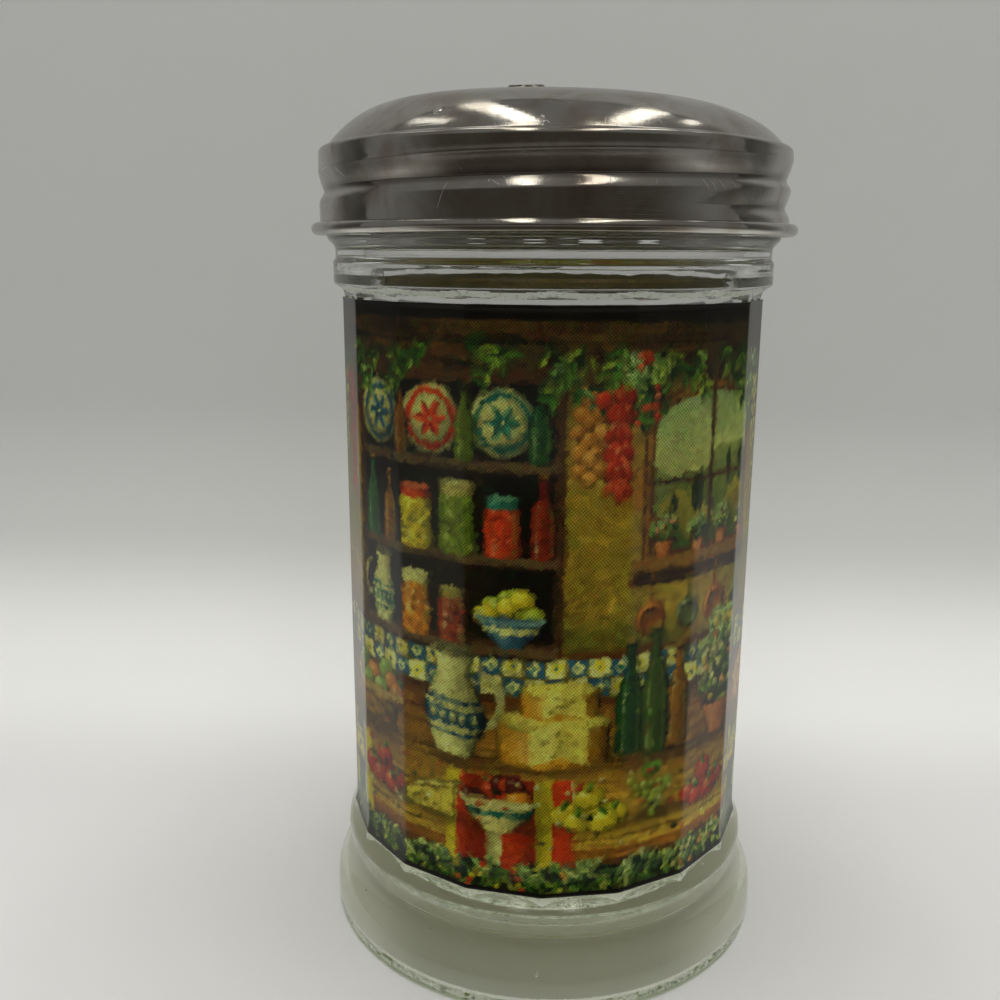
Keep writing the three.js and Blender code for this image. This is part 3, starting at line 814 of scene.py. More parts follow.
    def cheese(self, u, v, wide, tall):
        rind, paste = (0.80, 0.52, 0.15), (0.95, 0.83, 0.42)
        self.vessel(u, v, [(0, wide), (tall * 0.12, wide * 1.02), (tall * 0.9, wide * 1.02), (tall, wide)], rind,
                    lip=False)
        self.ball(u, v + tall, wide, wide * 0.24, tone(paste, -0.06), light=0.1, gloss=0, line=0.3)
        ridge = [(u + wide * 0.05, v + tall + wide * 0.02), (u + wide * 0.05, v + wide * 0.05)]  # the cut's edge
        right = [(u + wide * 0.62, v + tall - wide * 0.17), (u + wide * 0.62, v - wide * 0.10)]
        left = [(u - wide * 0.42, v - wide * 0.12), (u - wide * 0.42, v + tall - wide * 0.20)]
        self.shape([ridge[0], *right, ridge[1]], tone(paste, -0.1))
        self.shape([*ridge, *left], tone(paste, 0.15))
        for _ in range(7):
            self.ball(u + wide * self.rng.uniform(-0.35, 0.55), v + tall * self.rng.uniform(0.1, 0.75), 0.35, 0.28,
                      tone(paste, -0.4), light=0, gloss=0, line=0)

    def wedge(self, u, v, wide, tall):
        paste = (0.95, 0.80, 0.36)
        self.shape([(u - wide, v), (u + wide * 0.7, v - tall * 0.08), (u + wide * 0.7, v + tall * 0.86),
                    (u - wide, v + tall * 0.5)], paste, tone(paste, -0.55))
        self.shape([(u - wide, v + tall * 0.5), (u + wide * 0.7, v + tall * 0.86), (u + wide, v + tall * 1.12),
                    (u - wide * 0.5, v + tall * 0.78)], tone(paste, 0.25), tone(paste, -0.5))
        for _ in range(5):
            r = self.rng.uniform(0.3, 0.75)
            self.ball(u + wide * self.rng.uniform(-0.7, 0.5), v + tall * self.rng.uniform(0.12, 0.5), r, r * 0.8,
                      tone(paste, -0.3), light=-0.4, gloss=0, line=0.3)

    def loaf(self, u, v, wide, tall, turn=0.1):
        crust = (0.72, 0.42, 0.14)
        self.ball(u, v, wide, tall, crust, turn, light=0.45, gloss=0.25)
        for k in np.linspace(-0.6, 0.6, 5):
            x, y = u + wide * k * math.cos(turn), v + wide * k * math.sin(turn)
            self.stroke([(x - tall * 0.35, y + tall * 0.62), (x + tall * 0.25, y - tall * 0.1)], 0.8,
                        tone(crust, 0.45))

    def pan(self, u, v, size, colour=(0.66, 0.34, 0.15)):
        self.stroke([(u, v + size * 0.9), (u, v + size * 2.4)], size * 0.22, tone(colour, -0.35))
        self.ball(u, v, size, size, colour, light=0.5, gloss=0.7)
        self.ball(u + 0.1, v - 0.1, size * 0.74, size * 0.74, tone(colour, -0.25), light=-0.45, gloss=0.3,
                  line=0.25)

    def grapes(self, u, v, size, colour):
        for k in range(16):
            row = int((math.sqrt(8 * k + 1) - 1) / 2)
            x = (k - row * (row + 1) / 2 - row / 2) * size * 1.05
            self.ball(u + x + self.rng.uniform(-0.2, 0.2), v + row * size * 0.85, size * 0.58, size * 0.58,
                      tone(colour, self.rng.uniform(-0.25, 0.2)), gloss=0.7)
        self.leaf(u, v + size * 5.0, size * 2.6, size * 1.7, 0.3, wrapLook["leaves"][1])

    def dresser(self, uLow, uHigh, low, high, shelves):
        wood = (0.24, 0.14, 0.07)
        self.box(uLow, uHigh, low, high, wood)
        self.box(uLow + 1.3, uHigh - 1.3, low + 1.3, high - 1.5, wrapLook["deep"])
        where, x, y = self.window((uLow + uHigh) / 2, (low + high) / 2, (uHigh - uLow) / 2 - 1.3,
                                  (high - low) / 2 - 1.4)
        self.lay(where, 0.5 * np.clip(1 - np.hypot(x / 9, (y + 6) / 22), 0, 1), (0.22, 0.20, 0.10))
        for k in range(shelves):
            v = low + (high - low) * k / shelves
            self.box(uLow + 0.8, uHigh - 0.8, v - 0.7, v + 0.7, tone(wood, 0.12))
            self.box(uLow + 0.8, uHigh - 0.8, v - 0.9, v - 0.5, tone(wood, -0.5))

    def plate(self, u, v, size, rim):
        self.ball(u, v, size, size, wrapLook["cream"], light=0.2, gloss=0.3, line=0.5)
        self.ball(u, v, size * 0.84, size * 0.84, rim, light=0.1, gloss=0, line=0)
        self.ball(u, v, size * 0.68, size * 0.68, tone(wrapLook["cream"], -0.08), light=0.15, gloss=0, line=0.2)
        for k in range(6):
            turn = k * math.pi / 3
            self.leaf(u + size * 0.3 * math.cos(turn), v + size * 0.3 * math.sin(turn), size * 0.5, size * 0.22,
                      turn, rim)


def brushOver(paint, rng, count, long, wide, jitter):
    # covers the picture with short strokes of its own colours, drawn along it and cut short at edges
    rows, columns = paint.shape[:2]
    stepU, stepV = wrapLook["girth"] / columns, wrapLook["tall"] / rows
    i, j = rng.uniform(0, rows - 1, count), rng.uniform(0, columns, count)
    grey = paint @ np.array([0.3, 0.59, 0.11])
    down, across = np.gradient(grey)
    for axis in (0, 1):
        down, across = ((g + np.roll(g, 1, axis) + np.roll(g, -1, axis)) / 3 for g in (down, across))
    flow = cloud(rng, (rows, columns), 14, 14)
    at = (i.astype(int), j.astype(int) % columns)
    steep = np.hypot(down[at], across[at])
    along = np.where(steep > 0.012, np.arctan2(across[at], -down[at]), flow[at] * 1.4 + 0.9)
    along = along + rng.normal(0, 0.25, count)
    core = paint[at]
    reach = long * rng.uniform(0.6, 1.3, count) / 2
    for sign in (-1, 1):
        endI = np.clip((i + sign * reach / stepV * np.sin(along)).astype(int), 0, rows - 1)
        endJ = (j + sign * reach / stepU * np.cos(along)).astype(int) % columns
        reach = np.where(np.abs(paint[endI, endJ] - core).sum(1) > 0.22, reach * 0.45, reach)
    colour = core * (1 + jitter * rng.normal(size=(count, 1))) + jitter * 0.25 * rng.normal(size=(count, 3))
    half = wide / 2 * rng.uniform(0.7, 1.2, count)
    across = np.arange(-1, 1.01, 2 * min(stepU, stepV) * 0.9 / wide)
    lengths = np.arange(-1, 1.01, 2 * min(stepU, stepV) * 0.9 / long)
    made = paint.copy()
    a, b = (m.ravel() for m in np.meshgrid(lengths, across))
    batch = 4000
    for k in range(0, count, batch):  # in batches, so that later strokes lie over earlier ones
        s = slice(k, k + batch)
        x = reach[s, None] * a, half[s, None] * b * np.sqrt(1 - 0.8 * a * a)
        sine, cosine = np.sin(along[s, None]), np.cos(along[s, None])
        atRow = np.round(i[s, None] + (x[0] * sine + x[1] * cosine) / stepV).astype(int)
        atColumn = np.round(j[s, None] + (x[0] * cosine - x[1] * sine) / stepU).astype(int)
        streak = 1 + 0.05 * np.sin(b * 5.0)
        made[np.clip(atRow, 0, rows - 1), atColumn % columns] = colour[s, None] * streak[None, :, None]
    return np.clip(made, 0, 1)


def paintWall(canvas, rng, u, v):
    p = wrapLook
    shape = u.shape
    broad, middling, fine = cloud(rng, shape, 17, 13), cloud(rng, shape, 5, 4), cloud(rng, shape, 1.3, 1.0)
    share = np.clip(0.5 + 0.28 * broad + 0.16 * middling, 0, 1)[..., None]
    paint = np.array(p["plaster"]) * (1 - share) + np.array(p["plasterDeep"]) * share
    for colour, size, least in ((p["olive"], 12, 0.35), (p["rust"], 9, 0.65)):
        patch = np.clip(0.9 * cloud(rng, shape, size, size * 0.8) - least, 0, 1)[..., None] * 0.6
        paint = paint * (1 - patch) + np.array(colour) * patch
    paint = paint * (1 + 0.07 * fine[..., None] + 0.06 * middling[..., None])
    shade = 1 - 0.45 * np.clip((v - 52) / 14, 0, 1) - 0.35 * np.clip((36 - v) / 8, 0, 1)
    canvas.paint[:] = paint * shade[..., None]
    for _ in range(22):  # bare bricks where the plaster has gone
        a, b = rng.uniform(0, p["girth"]), rng.uniform(33, 62)
        for i in range(rng.integers(2, 5)):
            x, y = a + (i % 2) * 3.2 + rng.uniform(-0.3, 0.3), b + (i // 2) * 1.5
            canvas.box(x, x + 2.8, y, y + 1.15, tone(p["rust"], rng.uniform(-0.45, -0.1)), 0.4)


def paintBeam(canvas, rng, u, v):
    wood = np.array((0.19, 0.125, 0.06))
    grain = cloud(rng, u.shape, 11, 0.4)
    low = 65.4 + 0.4 * np.sin(u * 0.14) + 0.2 * cloud(rng, u.shape, 5, 30)
    cover = canvas.edge(v - low)
    body = wood * (1 + 0.28 * grain[..., None]) * (1 + 0.5 * np.exp(-((v - low - 0.6) / 0.4) ** 2))[..., None]
    canvas.paint[:] = canvas.paint * (1 - cover[..., None]) + body * cover[..., None]
    under = np.exp(-np.clip(low - v, 0, 99) / 2.6) * (v < low) * 0.7
    canvas.paint[:] *= (1 - under)[..., None]
    for x in np.arange(9, wrapLook["girth"], 24.36):  # short props under the beam
        canvas.shape([(x - 1.2, 67), (x - 1.0, 59), (x + 1.0, 59), (x + 1.2, 67)], tone(wood, 0.10),
                     tone(wood, -0.6))
        canvas.shape([(x - 3.4, 67), (x, 61.5), (x + 3.4, 67)], tone(wood, 0.04), tone(wood, -0.6))


def paintFrieze(canvas):
    p = wrapLook
    canvas.tiles(0.0, p["girth"], 26.0, 31.2, p["girth"] / round(p["girth"] / 2.6),
                 [p["cream"], p["blue"], p["lemon"], p["teal"]])
    canvas.box(0, p["girth"], 31.0, 31.8, (0.36, 0.20, 0.09))
    canvas.box(0, p["girth"], 25.4, 26.0, (0.28, 0.15, 0.07))


def paintTable(canvas, rng, u, v):
    p = wrapLook
    top, low = 25.6, 6.2
    grain = cloud(rng, u.shape, 15, 0.36) * 0.6 + cloud(rng, u.shape, 4, 0.6) * 0.4
    share = np.clip((top - v) / (top - low), 0, 1)[..., None]
    body = np.array(p["tableEdge"]) * (1 - share) + np.array(p["tableTop"]) * share
    body = body * (1 + 0.16 * grain[..., None])
    body = body * (1 - 0.4 * (np.abs((v + 0.10 * np.sin(u * 0.3)) % 5.1 - 2.4) < 0.16)[..., None])
    cover = canvas.edge(top - v)
    canvas.paint[:] = canvas.paint * (1 - cover[..., None]) + body * cover[..., None]
    canvas.paint[:] *= (1 - 0.5 * np.exp(-np.abs(top - v) / 1.2) * (v < top))[..., None]
    edge = ((v > 3.9) & (v <= low))[..., None]
    front = np.array(p["tableEdge"]) * (1.2 + 0.2 * grain[..., None]) * (1 - 0.35 * (v < 4.6))[..., None]
    canvas.paint[:] = np.where(edge, front, canvas.paint)
    floor = np.array((0.17, 0.13, 0.06)) * (1 + 0.3 * cloud(rng, u.shape, 7, 2)[..., None])
    canvas.paint[:] = np.where((v <= 3.9)[..., None], floor, canvas.paint)


def shadowUnder(canvas, u, v, wide, tall=1.6):
    where, x, y = canvas.window(u, v, wide * 1.3, tall * 1.5)
    canvas.lay(where, 0.6 * np.clip(1.25 - np.hypot(x / wide, y / tall), 0, 1), (0.10, 0.06, 0.03))


def bottleAt(canvas, u, v, tall, wide, colour, cap=None):
    h, w = tall, wide
    canvas.vessel(u, v, [(0, w * 0.94), (h * 0.05, w), (h * 0.52, w), (h * 0.66, w * 0.72), (h * 0.76, w * 0.34),
                         (h * 0.94, w * 0.30), (h * 0.95, w * 0.40), (h, w * 0.40)], colour, glass=True)
    if cap:
        canvas.box(u - w * 0.3, u + w * 0.3, v + h, v + h * 1.06, cap, 0.3)


def jarAt(canvas, u, v, tall, wide, content, lid):
    h, w = tall, wide
    canvas.vessel(u, v, [(0, w * 0.92), (h * 0.06, w), (h * 0.78, w), (h * 0.86, w * 0.82), (h, w * 0.82)], content,
                  glass=True, lip=False)
    for _ in range(int(w * h * 1.1)):
        canvas.ball(u + canvas.rng.uniform(-0.78, 0.78) * w, v + canvas.rng.uniform(0.06, 0.72) * h, 0.5, 0.42,
                    tone(content, canvas.rng.uniform(-0.3, 0.35)), gloss=0, line=0.2)
    canvas.vessel(u, v + h * 0.86, [(0, w * 0.92), (h * 0.16, w * 0.92)], lid, lip=False)
    canvas.ball(u, v + h * 1.02, w * 0.92, w * 0.2, tone(lid, 0.2), light=0.1, gloss=0.2, line=0.3)


def jugAt(canvas, u, v, tall, wide, colour, band, side=1):
    h, w = tall, wide
    canvas.stroke([(u + side * (w * 0.8 + w * 0.62 * math.sin(t)), v + h * (0.55 + 0.26 * math.cos(t)))
                   for t in np.linspace(0.15, 2.9, 12)], w * 0.24, tone(colour, -0.22))
    profile = [(0, w * 0.62), (h * 0.06, w * 0.66), (h * 0.30, w), (h * 0.50, w * 0.96), (h * 0.76, w * 0.56),
               (h * 0.90, w * 0.56), (h, w * 0.72)]
    canvas.vessel(u, v, profile, colour, band=[(h * 0.20, h * 0.24, band), (h * 0.30, h * 0.47, band),
                                               (h * 0.53, h * 0.57, band)])
    for k in range(5):
        t = -0.66 + 0.33 * k
        canvas.ball(u + w * t, v + h * 0.385 - 0.12 * w * math.sqrt(1 - t * t),
                    w * 0.12 * math.sqrt(1 - t * t * 0.8), w * 0.15, tone(colour, 0.05), gloss=0, line=0.1)


def potAt(canvas, u, v, size, flowers=(), tallness=1.0, leaves=None):
    p = wrapLook
    canvas.vessel(u, v, [(0, size * 0.62), (size * 1.0, size * 0.92), (size * 1.02, size * 1.08),
                         (size * 1.35, size * 1.1)], p["clay"], lip=False)
    canvas.ball(u, v + size * 1.35, size * 1.06, size * 0.24, (0.14, 0.09, 0.05), light=0, gloss=0, line=0)
    canvas.bush(u, v + size * (1.5 + tallness), size * 1.5, size * 1.25 * tallness, int(90 * tallness), size * 0.62,
                flowers, leaves)


def bowlOf(canvas, u, v, wide, tall, colour, band, fruit, size):
    rng = canvas.rng
    for k in range(int(wide / size * 4.6)):
        row = k % 3
        x = rng.uniform(-1, 1) * (wide * (0.92 - 0.24 * row))
        across, upright = size * rng.uniform(0.85, 1.1), size * rng.uniform(0.85, 1.05)
        paint = tone(fruit[rng.integers(len(fruit))], rng.uniform(-0.12, 0.1))
        canvas.ball(u + x, v + tall + size * (0.1 + 0.75 * row), across, upright, paint, gloss=0.65)
    canvas.vessel(u, v, [(0, wide * 0.45), (tall * 0.14, wide * 0.5), (tall * 0.5, wide * 0.86), (tall, wide)],
                  colour, band=[(tall * 0.55, tall * 0.8, band)], lip=False)
    rim = [(u + t * wide, v + tall - 0.16 * wide * math.sqrt(1 - t * t)) for t in np.linspace(-1, 1, 13)]
    canvas.stroke(rim, 0.55, tone(colour, 0.3))


def basketOf(canvas, u, v, wide, tall, fruit, size, leaves=6):
    rng = canvas.rng
    for _ in range(leaves):
        canvas.leaf(u + rng.uniform(-1, 1) * wide * 0.9, v + tall + size * rng.uniform(0.6, 1.7), size * 2.2,
                    size * 0.9, rng.uniform(0.2, 2.9), wrapLook["leaves"][rng.integers(4)])
    for row in (2, 1, 0):
        n = max(2, int(wide * 2 * (0.95 - 0.2 * row) / (size * 1.5)))
        for t in np.linspace(-1, 1, n):
            x = u + t * wide * (0.86 - 0.2 * row) + rng.uniform(-0.2, 0.2)
            across, upright = size * rng.uniform(0.85, 1.05), size * rng.uniform(0.85, 1.05)
            paint = tone(fruit[rng.integers(len(fruit))], rng.uniform(-0.15, 0.1))
            canvas.ball(x, v + tall + size * (0.1 + 0.72 * row), across, upright, paint, gloss=0.65)
    canvas.basket(u, v, wide, tall)


def paintWindow(canvas, u, low, wide, tall):
    # a small window with hills and slim trees beyond it
    rng = canvas.rng
    where, x, y = canvas.window(u, low + tall / 2, wide, tall / 2)
    x, y = np.broadcast_arrays(x, y + tall / 2)
    sky = np.clip(y / tall, 0, 1)[..., None]
    view = np.array((0.93, 0.82, 0.50)) * (1 - sky) + np.array((0.52, 0.60, 0.52)) * sky
    for k, paint in enumerate([(0.50, 0.53, 0.34), (0.42, 0.47, 0.22), (0.62, 0.54, 0.20), (0.24, 0.33, 0.12)]):
        ridge = tall * (0.56 - 0.13 * k) + 1.6 * np.sin(x * (0.35 + 0.1 * k) + 2.1 * k)
        ridge = ridge + 0.5 * np.sin(x * 1.1 + k)
        hill = np.array(paint) * (1 - 0.25 * np.clip((ridge - y) / 4, 0, 1))[..., None]
        view = np.where((y < ridge)[..., None], hill, view)
    top = tall + 0.5 * wide * (np.sqrt(np.clip(1 - (x / wide) ** 2, 0, 1)) - 1)
    inside = np.minimum(wide - np.abs(x), np.minimum(y, top - y))
    canvas.lay(where, canvas.edge(inside), view)
    for _ in range(6):
        a, b = u + rng.uniform(-0.8, 0.8) * wide, low + tall * rng.uniform(0.2, 0.42)
        canvas.ball(a, b + 1.5, 0.55, rng.uniform(1.6, 2.8), (0.11, 0.18, 0.07), light=0.1, gloss=0, line=0)
    arch = [(u + wide * math.sin(t), low + tall - wide * 0.5 + wide * 0.5 * math.cos(t))
            for t in np.linspace(-1.57, 1.57, 13)]
    outline = [(u - wide, low), (u - wide, low + tall * 0.72), *arch, (u + wide, low), (u - wide, low)]
    canvas.stroke(outline, 1.5, (0.30, 0.16, 0.07))
    canvas.stroke(outline, 0.5, (0.52, 0.32, 0.14))
    canvas.stroke([(u, low), (u, low + tall)], 0.7, wrapLook["darkWood"])
    canvas.stroke([(u - wide, low + tall * 0.45), (u + wide, low + tall * 0.45)], 0.6, wrapLook["darkWood"])
    canvas.box(u - wide - 2, u + wide + 2, low - 1.6, low, (0.50, 0.32, 0.14), 0.3)
    canvas.box(u - wide - 1.6, u + wide + 1.6, low - 2.6, low - 1.5, (0.16, 0.09, 0.04), 0.5)


def paintPrint(rows, columns):
    # a pantry wall and a laden table round the whole girth, in units of 1.3 mm
    p = wrapLook
    rng = np.random.default_rng(p["seed"])
    canvas = Canvas(rows, columns, rng)
    u = np.broadcast_to(np.arange(columns) * canvas.stepU, (rows, columns))
    v = np.broadcast_to((np.arange(rows) * canvas.stepV)[:, None], (rows, columns))
    front = p["girth"] / 2
    paintWall(canvas, rng, u, v)
    paintBeam(canvas, rng, u, v)
    paintFrieze(canvas)

    # dresser left of the front, with plates, bottles and jars
    a = front - 12.5
    canvas.dresser(a - 15.5, a + 14.5, 31.6, 64.0, 3)
    levels = [32.3, 43.1, 53.9]
    for x, size, rim in ((-10.8, 4.0, p["blue"]), (-2.0, 4.2, p["tomato"]), (7.2, 4.0, p["teal"])):
        canvas.plate(a + x, levels[2] + 4.3, size, rim)
    for x, tall, wide, paint in ((-6.4, 7.6, 1.2, (0.46, 0.24, 0.06)), (2.7, 8.2, 1.3, (0.30, 0.36, 0.08)),
                                 (11.6, 8.4, 1.4, p["bottle"])):
        bottleAt(canvas, a + x, levels[2], tall, wide, paint)
    for x, tall, wide, paint in ((-12.6, 9.2, 1.7, (0.14, 0.30, 0.22)), (-8.8, 8.2, 1.5, p["amber"]),
                                 (12.0, 9.2, 1.6, (0.42, 0.10, 0.05))):
        bottleAt(canvas, a + x, levels[1], tall, wide, paint, p["cork"])
    for x, tall, wide, content, lid in ((-4.2, 7.0, 2.4, p["lemon"], p["tomato"]),
                                        (1.6, 8.0, 2.5, (0.42, 0.48, 0.12), (0.70, 0.62, 0.4)),
                                        (7.3, 6.6, 2.3, p["tomato"], p["teal"])):
        jarAt(canvas, a + x, levels[1], tall, wide, content, lid)
    jugAt(canvas, a - 10.6, levels[0], 8.8, 3.0, p["cream"], p["teal"], -1)
    for x, tall, wide, content, lid in ((-4.4, 7.4, 2.3, p["orange"], p["cream"]),
                                        (0.9, 6.2, 2.1, (0.55, 0.20, 0.10), (0.6, 0.5, 0.26))):
        jarAt(canvas, a + x, levels[0], tall, wide, content, lid)
    bowlOf(canvas, a + 8.3, levels[0], 4.0, 3.5, p["blue"], p["cream"], [p["lemon"], (0.62, 0.66, 0.2)], 1.4)

    # window right of the front, with herbs on its sill and pans below it
    b = front + 21.5
    paintWindow(canvas, b, 42.5, 9.6, 19.5)
    for x, size, flowers in ((-7.2, 1.5, [p["tomato"], (0.95, 0.55, 0.5)]), (-2.0, 1.3, ()),
                             (3.0, 1.5, [p["lemon"], p["cream"]]), (7.8, 1.3, [(0.62, 0.42, 0.70), p["cream"]])):
        potAt(canvas, b + x, 42.6, size, flowers, 0.8)
    canvas.bush(b - 10.5, 62.0, 3.2, 4.2, 80, 1.7, [p["tomato"]])
    canvas.bush(b + 11.5, 60.5, 3.4, 5.0, 90, 1.7, ())
    for x, size in ((-8.6, 2.2), (-3.2, 1.9), (2.2, 2.4), (7.8, 2.0)):
        canvas.pan(b + x, 35.6 - size * 0.2, size, (0.70, 0.36, 0.15) if size > 2.1 else (0.40, 0.42, 0.36))
    canvas.stroke([(b - 11, 39.6), (b + 11, 39.6)], 0.5, (0.14, 0.08, 0.04))

    # strings of garlic, peppers and onions from the beam, round the whole girth
    pods, garlic, onion = (0.72, 0.15, 0.06), (0.72, 0.66, 0.46), (0.78, 0.44, 0.16)
    for x, paint, count, size, long in ((-37, garlic, 5, 1.7, 1), (-32, pods, 7, 1.3, 1.9), (4.6, onion, 5, 1.7, 1),
                                        (8.0, pods, 6, 1.2, 1.9), (35.5, garlic, 5, 1.6, 1),
                                        (75, pods, 7, 1.5, 1.9), (-66, onion, 5, 1.8, 1), (-82, pods, 6, 1.4, 1.9),
                                        (81, garlic, 5, 1.8, 1)):
        canvas.string(front + x, 61.5, count, size, paint, long)
    for x in np.arange(2, p["girth"], 4.6):
        y, long, turn = 66.5 + rng.uniform(-0.5, 1), rng.uniform(4.5, 7), rng.uniform(-2.7, -0.5)
        size, flower = rng.uniform(1.5, 2.3), tone(p["tomato"], -0.1) if rng.uniform() < 0.3 else None
        canvas.sprig(x, y, long, turn, p["leaves"][:4], size, flower)

    # fruit trees in tubs beside the window and at the back
    for x, grow in ((-49, 1.0), (46, 1.1), (-83, 0.9)):
        t = front + x
        canvas.stroke([(t, 16), (t - 0.6, 30), (t + 0.8, 42), (t, 50)], 1.5, (0.24, 0.15, 0.08))
        fruit = [p["orange"], p["lemon"]] if x < 0 else [p["tomato"], p["cream"]]
        canvas.bush(t, 49, 9.0 * grow, 11.5 * grow, 420, 2.1, fruit)
        canvas.bush(t - 3, 41, 6.5, 5.5, 150, 1.9, ())

    # a second dresser and a second window at the back
    canvas.dresser(front - 76, front - 56.5, 31.6, 57, 2)
    for x, tall, wide, paint, rim in ((-72, 8, 2.6, p["cream"], p["blue"]),
                                      (-66.3, 9.6, 2.4, p["clay"], p["lemon"]),
                                      (-60.6, 7.8, 2.7, p["teal"], p["cream"])):
        jugAt(canvas, front + x, 32.4, tall, wide, paint, rim, 1)
    for x, paint in ((-72, p["blue"]), (-66, p["orange"]), (-60.2, p["tomato"])):
        canvas.plate(front + x, 49, 3.0, paint)
    paintWindow(canvas, front + 65, 40, 7, 20)
    potAt(canvas, front + 62, 40.2, 1.7, [p["tomato"], p["cream"]], 1.0)
    potAt(canvas, front + 68, 40.2, 1.5, [p["lemon"]], 0.8)

    # the table and what stands on it, back row first
    paintTable(canvas, rng, u, v)
    back = [(-80, "basket", p["tomato"]), (-64, "cheese", None), (-50, "pot", None), (-38, "bottle", None),
            (-26, "basket", p["orange"]), (-11.5, "jug", None), (1.0, "cheese", None),
            (14, "bottle", None), (26, "flowers", None), (39, "loaves", None), (52, "jug", None),
            (66, "basket", p["lemon"])]
    for x, what, paint in back:
        t, level = front + x, 17.6 + rng.uniform(-0.5, 0.5)
        shadowUnder(canvas, t + 1, level - 0.4, 7.5, 1.8)
        if what == "basket":
            basketOf(canvas, t, level, 6.2, 4.8, [paint, tone(paint, -0.15), p["leaves"][2]], 1.8)
        elif what == "cheese":
            canvas.cheese(t, level, 6.8, 5.0)
            canvas.cheese(t + 0.8, level + 6.0, 4.8, 3.0)
        elif what in ("pot", "flowers"):
            flowers = [(0.90, 0.45, 0.28), p["cream"], p["lemon"]] if what == "flowers" else [p["tomato"]]
            potAt(canvas, t, level, 3.4, flowers, 1.5)
        elif what == "bottle":
            for dx, dy, tall, wide, glass in ((-3.6, 0.6, 14, 1.9, p["bottle"]), (3.4, 0.6, 12.5, 1.7, p["amber"]),
                                              (0, 0, 16, 2.0, (0.20, 0.28, 0.08))):
                bottleAt(canvas, t + dx, level + dy, tall, wide, glass, p["cork"])
        elif what == "jug":
            jugAt(canvas, t, level, 13.0, 4.4, p["cream"] if x < 0 else p["teal"],
                  p["blue"] if x < 0 else p["lemon"], 1)
        else:
            canvas.loaf(t - 3, level + 4.8, 5.4, 2.4, 0.5)
            canvas.loaf(t + 3, level + 4.6, 5.4, 2.4, 2.5)
            canvas.loaf(t, level + 2.0, 7.2, 2.8, 0.05)
    for x, wide, paints in ((-74, 18, [p["tomato"], p["cream"]]), (-42, 15, [p["teal"], p["cream"], p["lemon"]]),
                            (-13, 17, [p["tomato"], p["lemon"], p["tomato"], p["cream"]]),
                            (31, 15, [(0.20, 0.36, 0.16), p["cream"]]),
                            (56, 18, [p["tomato"], p["cream"], p["blue"]])):
        canvas.cloth(front + x, front + x + wide, 15.5, 1.6 + rng.uniform(-0.4, 0.6), paints)
    things = [(-81, "lemons"), (-71, "wedge"), (-62, "grapes"), (-53, "bowl"), (-43, "loaf"), (-34, "wedge"),
              (-24, "tomatoes"), (-14.5, "wedge"), (-5.5, "bowl"), (5.5, "lemons"), (14, "grapes"),
              (23, "tomatoes"), (33, "wedge"), (43, "bowl"), (53, "tomatoes"), (62, "grapes"), (71, "wedge")]
    for x, what in things:
        t, level = front + x, 9.6 + rng.uniform(-0.5, 0.5)
        shadowUnder(canvas, t + 0.8, level - 0.2, 5.2, 1.4)
        if what in ("lemons", "tomatoes"):
            paint = p["lemon"] if what == "lemons" else p["tomato"]
            for dx, dy, size in ((-2.9, 1.5, 1.7), (0.4, 1.7, 1.9), (3.4, 1.4, 1.6), (-1.2, 0.6, 1.7),
                                 (1.9, 0.5, 1.8), (0.2, 3.6, 1.7)):
                canvas.ball(t + dx, level + dy, size * (1.15 if what == "lemons" else 1.05), size * 0.92,
                            tone(paint, rng.uniform(-0.15, 0.08)), 0.2, gloss=0.75)
                canvas.leaf(t + dx, level + dy + size * 0.75, size * 0.9, size * 0.5, rng.uniform(0, 3),
                            p["leaves"][1])
        elif what == "wedge":
            canvas.wedge(t, level, 4.4, 4.4)
        elif what == "grapes":
            canvas.grapes(t, level, 1.15, (0.34, 0.12, 0.28) if x < 0 else (0.52, 0.56, 0.18))
        elif what == "bowl":
            fruit = [p["tomato"], p["orange"], (0.30, 0.10, 0.08)]
            bowlOf(canvas, t, level - 0.8, 4.8, 4.0, (0.84, 0.76, 0.56), p["teal"], fruit, 1.3)
        else:
            canvas.loaf(t, level + 1.8, 6.0, 2.5, 0.12)
    crumbs = [p["olive"], p["cream"], p["tomato"], (0.12, 0.14, 0.06)]
    for _ in range(200):  # olives, petals and crumbs
        x, y, wide, tall = (rng.uniform(*span) for span in ((0, p["girth"]), (6.4, 16), (0.25, 0.6), (0.2, 0.45)))
        paint = tone(crumbs[rng.integers(4)], rng.uniform(-0.2, 0.2))
        canvas.ball(x, y, wide, tall, paint, gloss=0.3, line=0.4)
    blooms = [[p["tomato"], p["lemon"]], [p["cream"], p["orange"]], ()]
    for x in np.arange(3, p["girth"], 7.4):  # greenery and flowers under the table's edge
        canvas.bush(x + rng.uniform(-1, 1), 2.0, 4.2, 2.6, 60, 1.5, blooms[rng.integers(3)])

    paint = canvas.paint * (1 + 0.05 * cloud(rng, u.shape, 9, 7)[..., None])
    made = brushOver(paint, rng, 16000, 2.4, 0.95, 0.07)
    made = brushOver(0.45 * paint + 0.55 * made, rng, 46000, 1.45, 0.46, 0.08)
    made = (0.3 * paint + 0.7 * made) * np.array(p["level"])
    made = made * (1 - p["shoulder"] * made)
    # the black-brown borders along both edges
    cover = np.maximum(canvas.edge(v - p["tall"] + 1.65 + 0.05 * np.sin(u)), canvas.edge(0.56 - v))[..., None]
    dark = np.array(p["border"]) * (1 + 0.15 * cloud(rng, u.shape, 4, 1))[..., None]
    return np.clip(made * (1 - cover) + dark * cover, 0.004, 0.985)


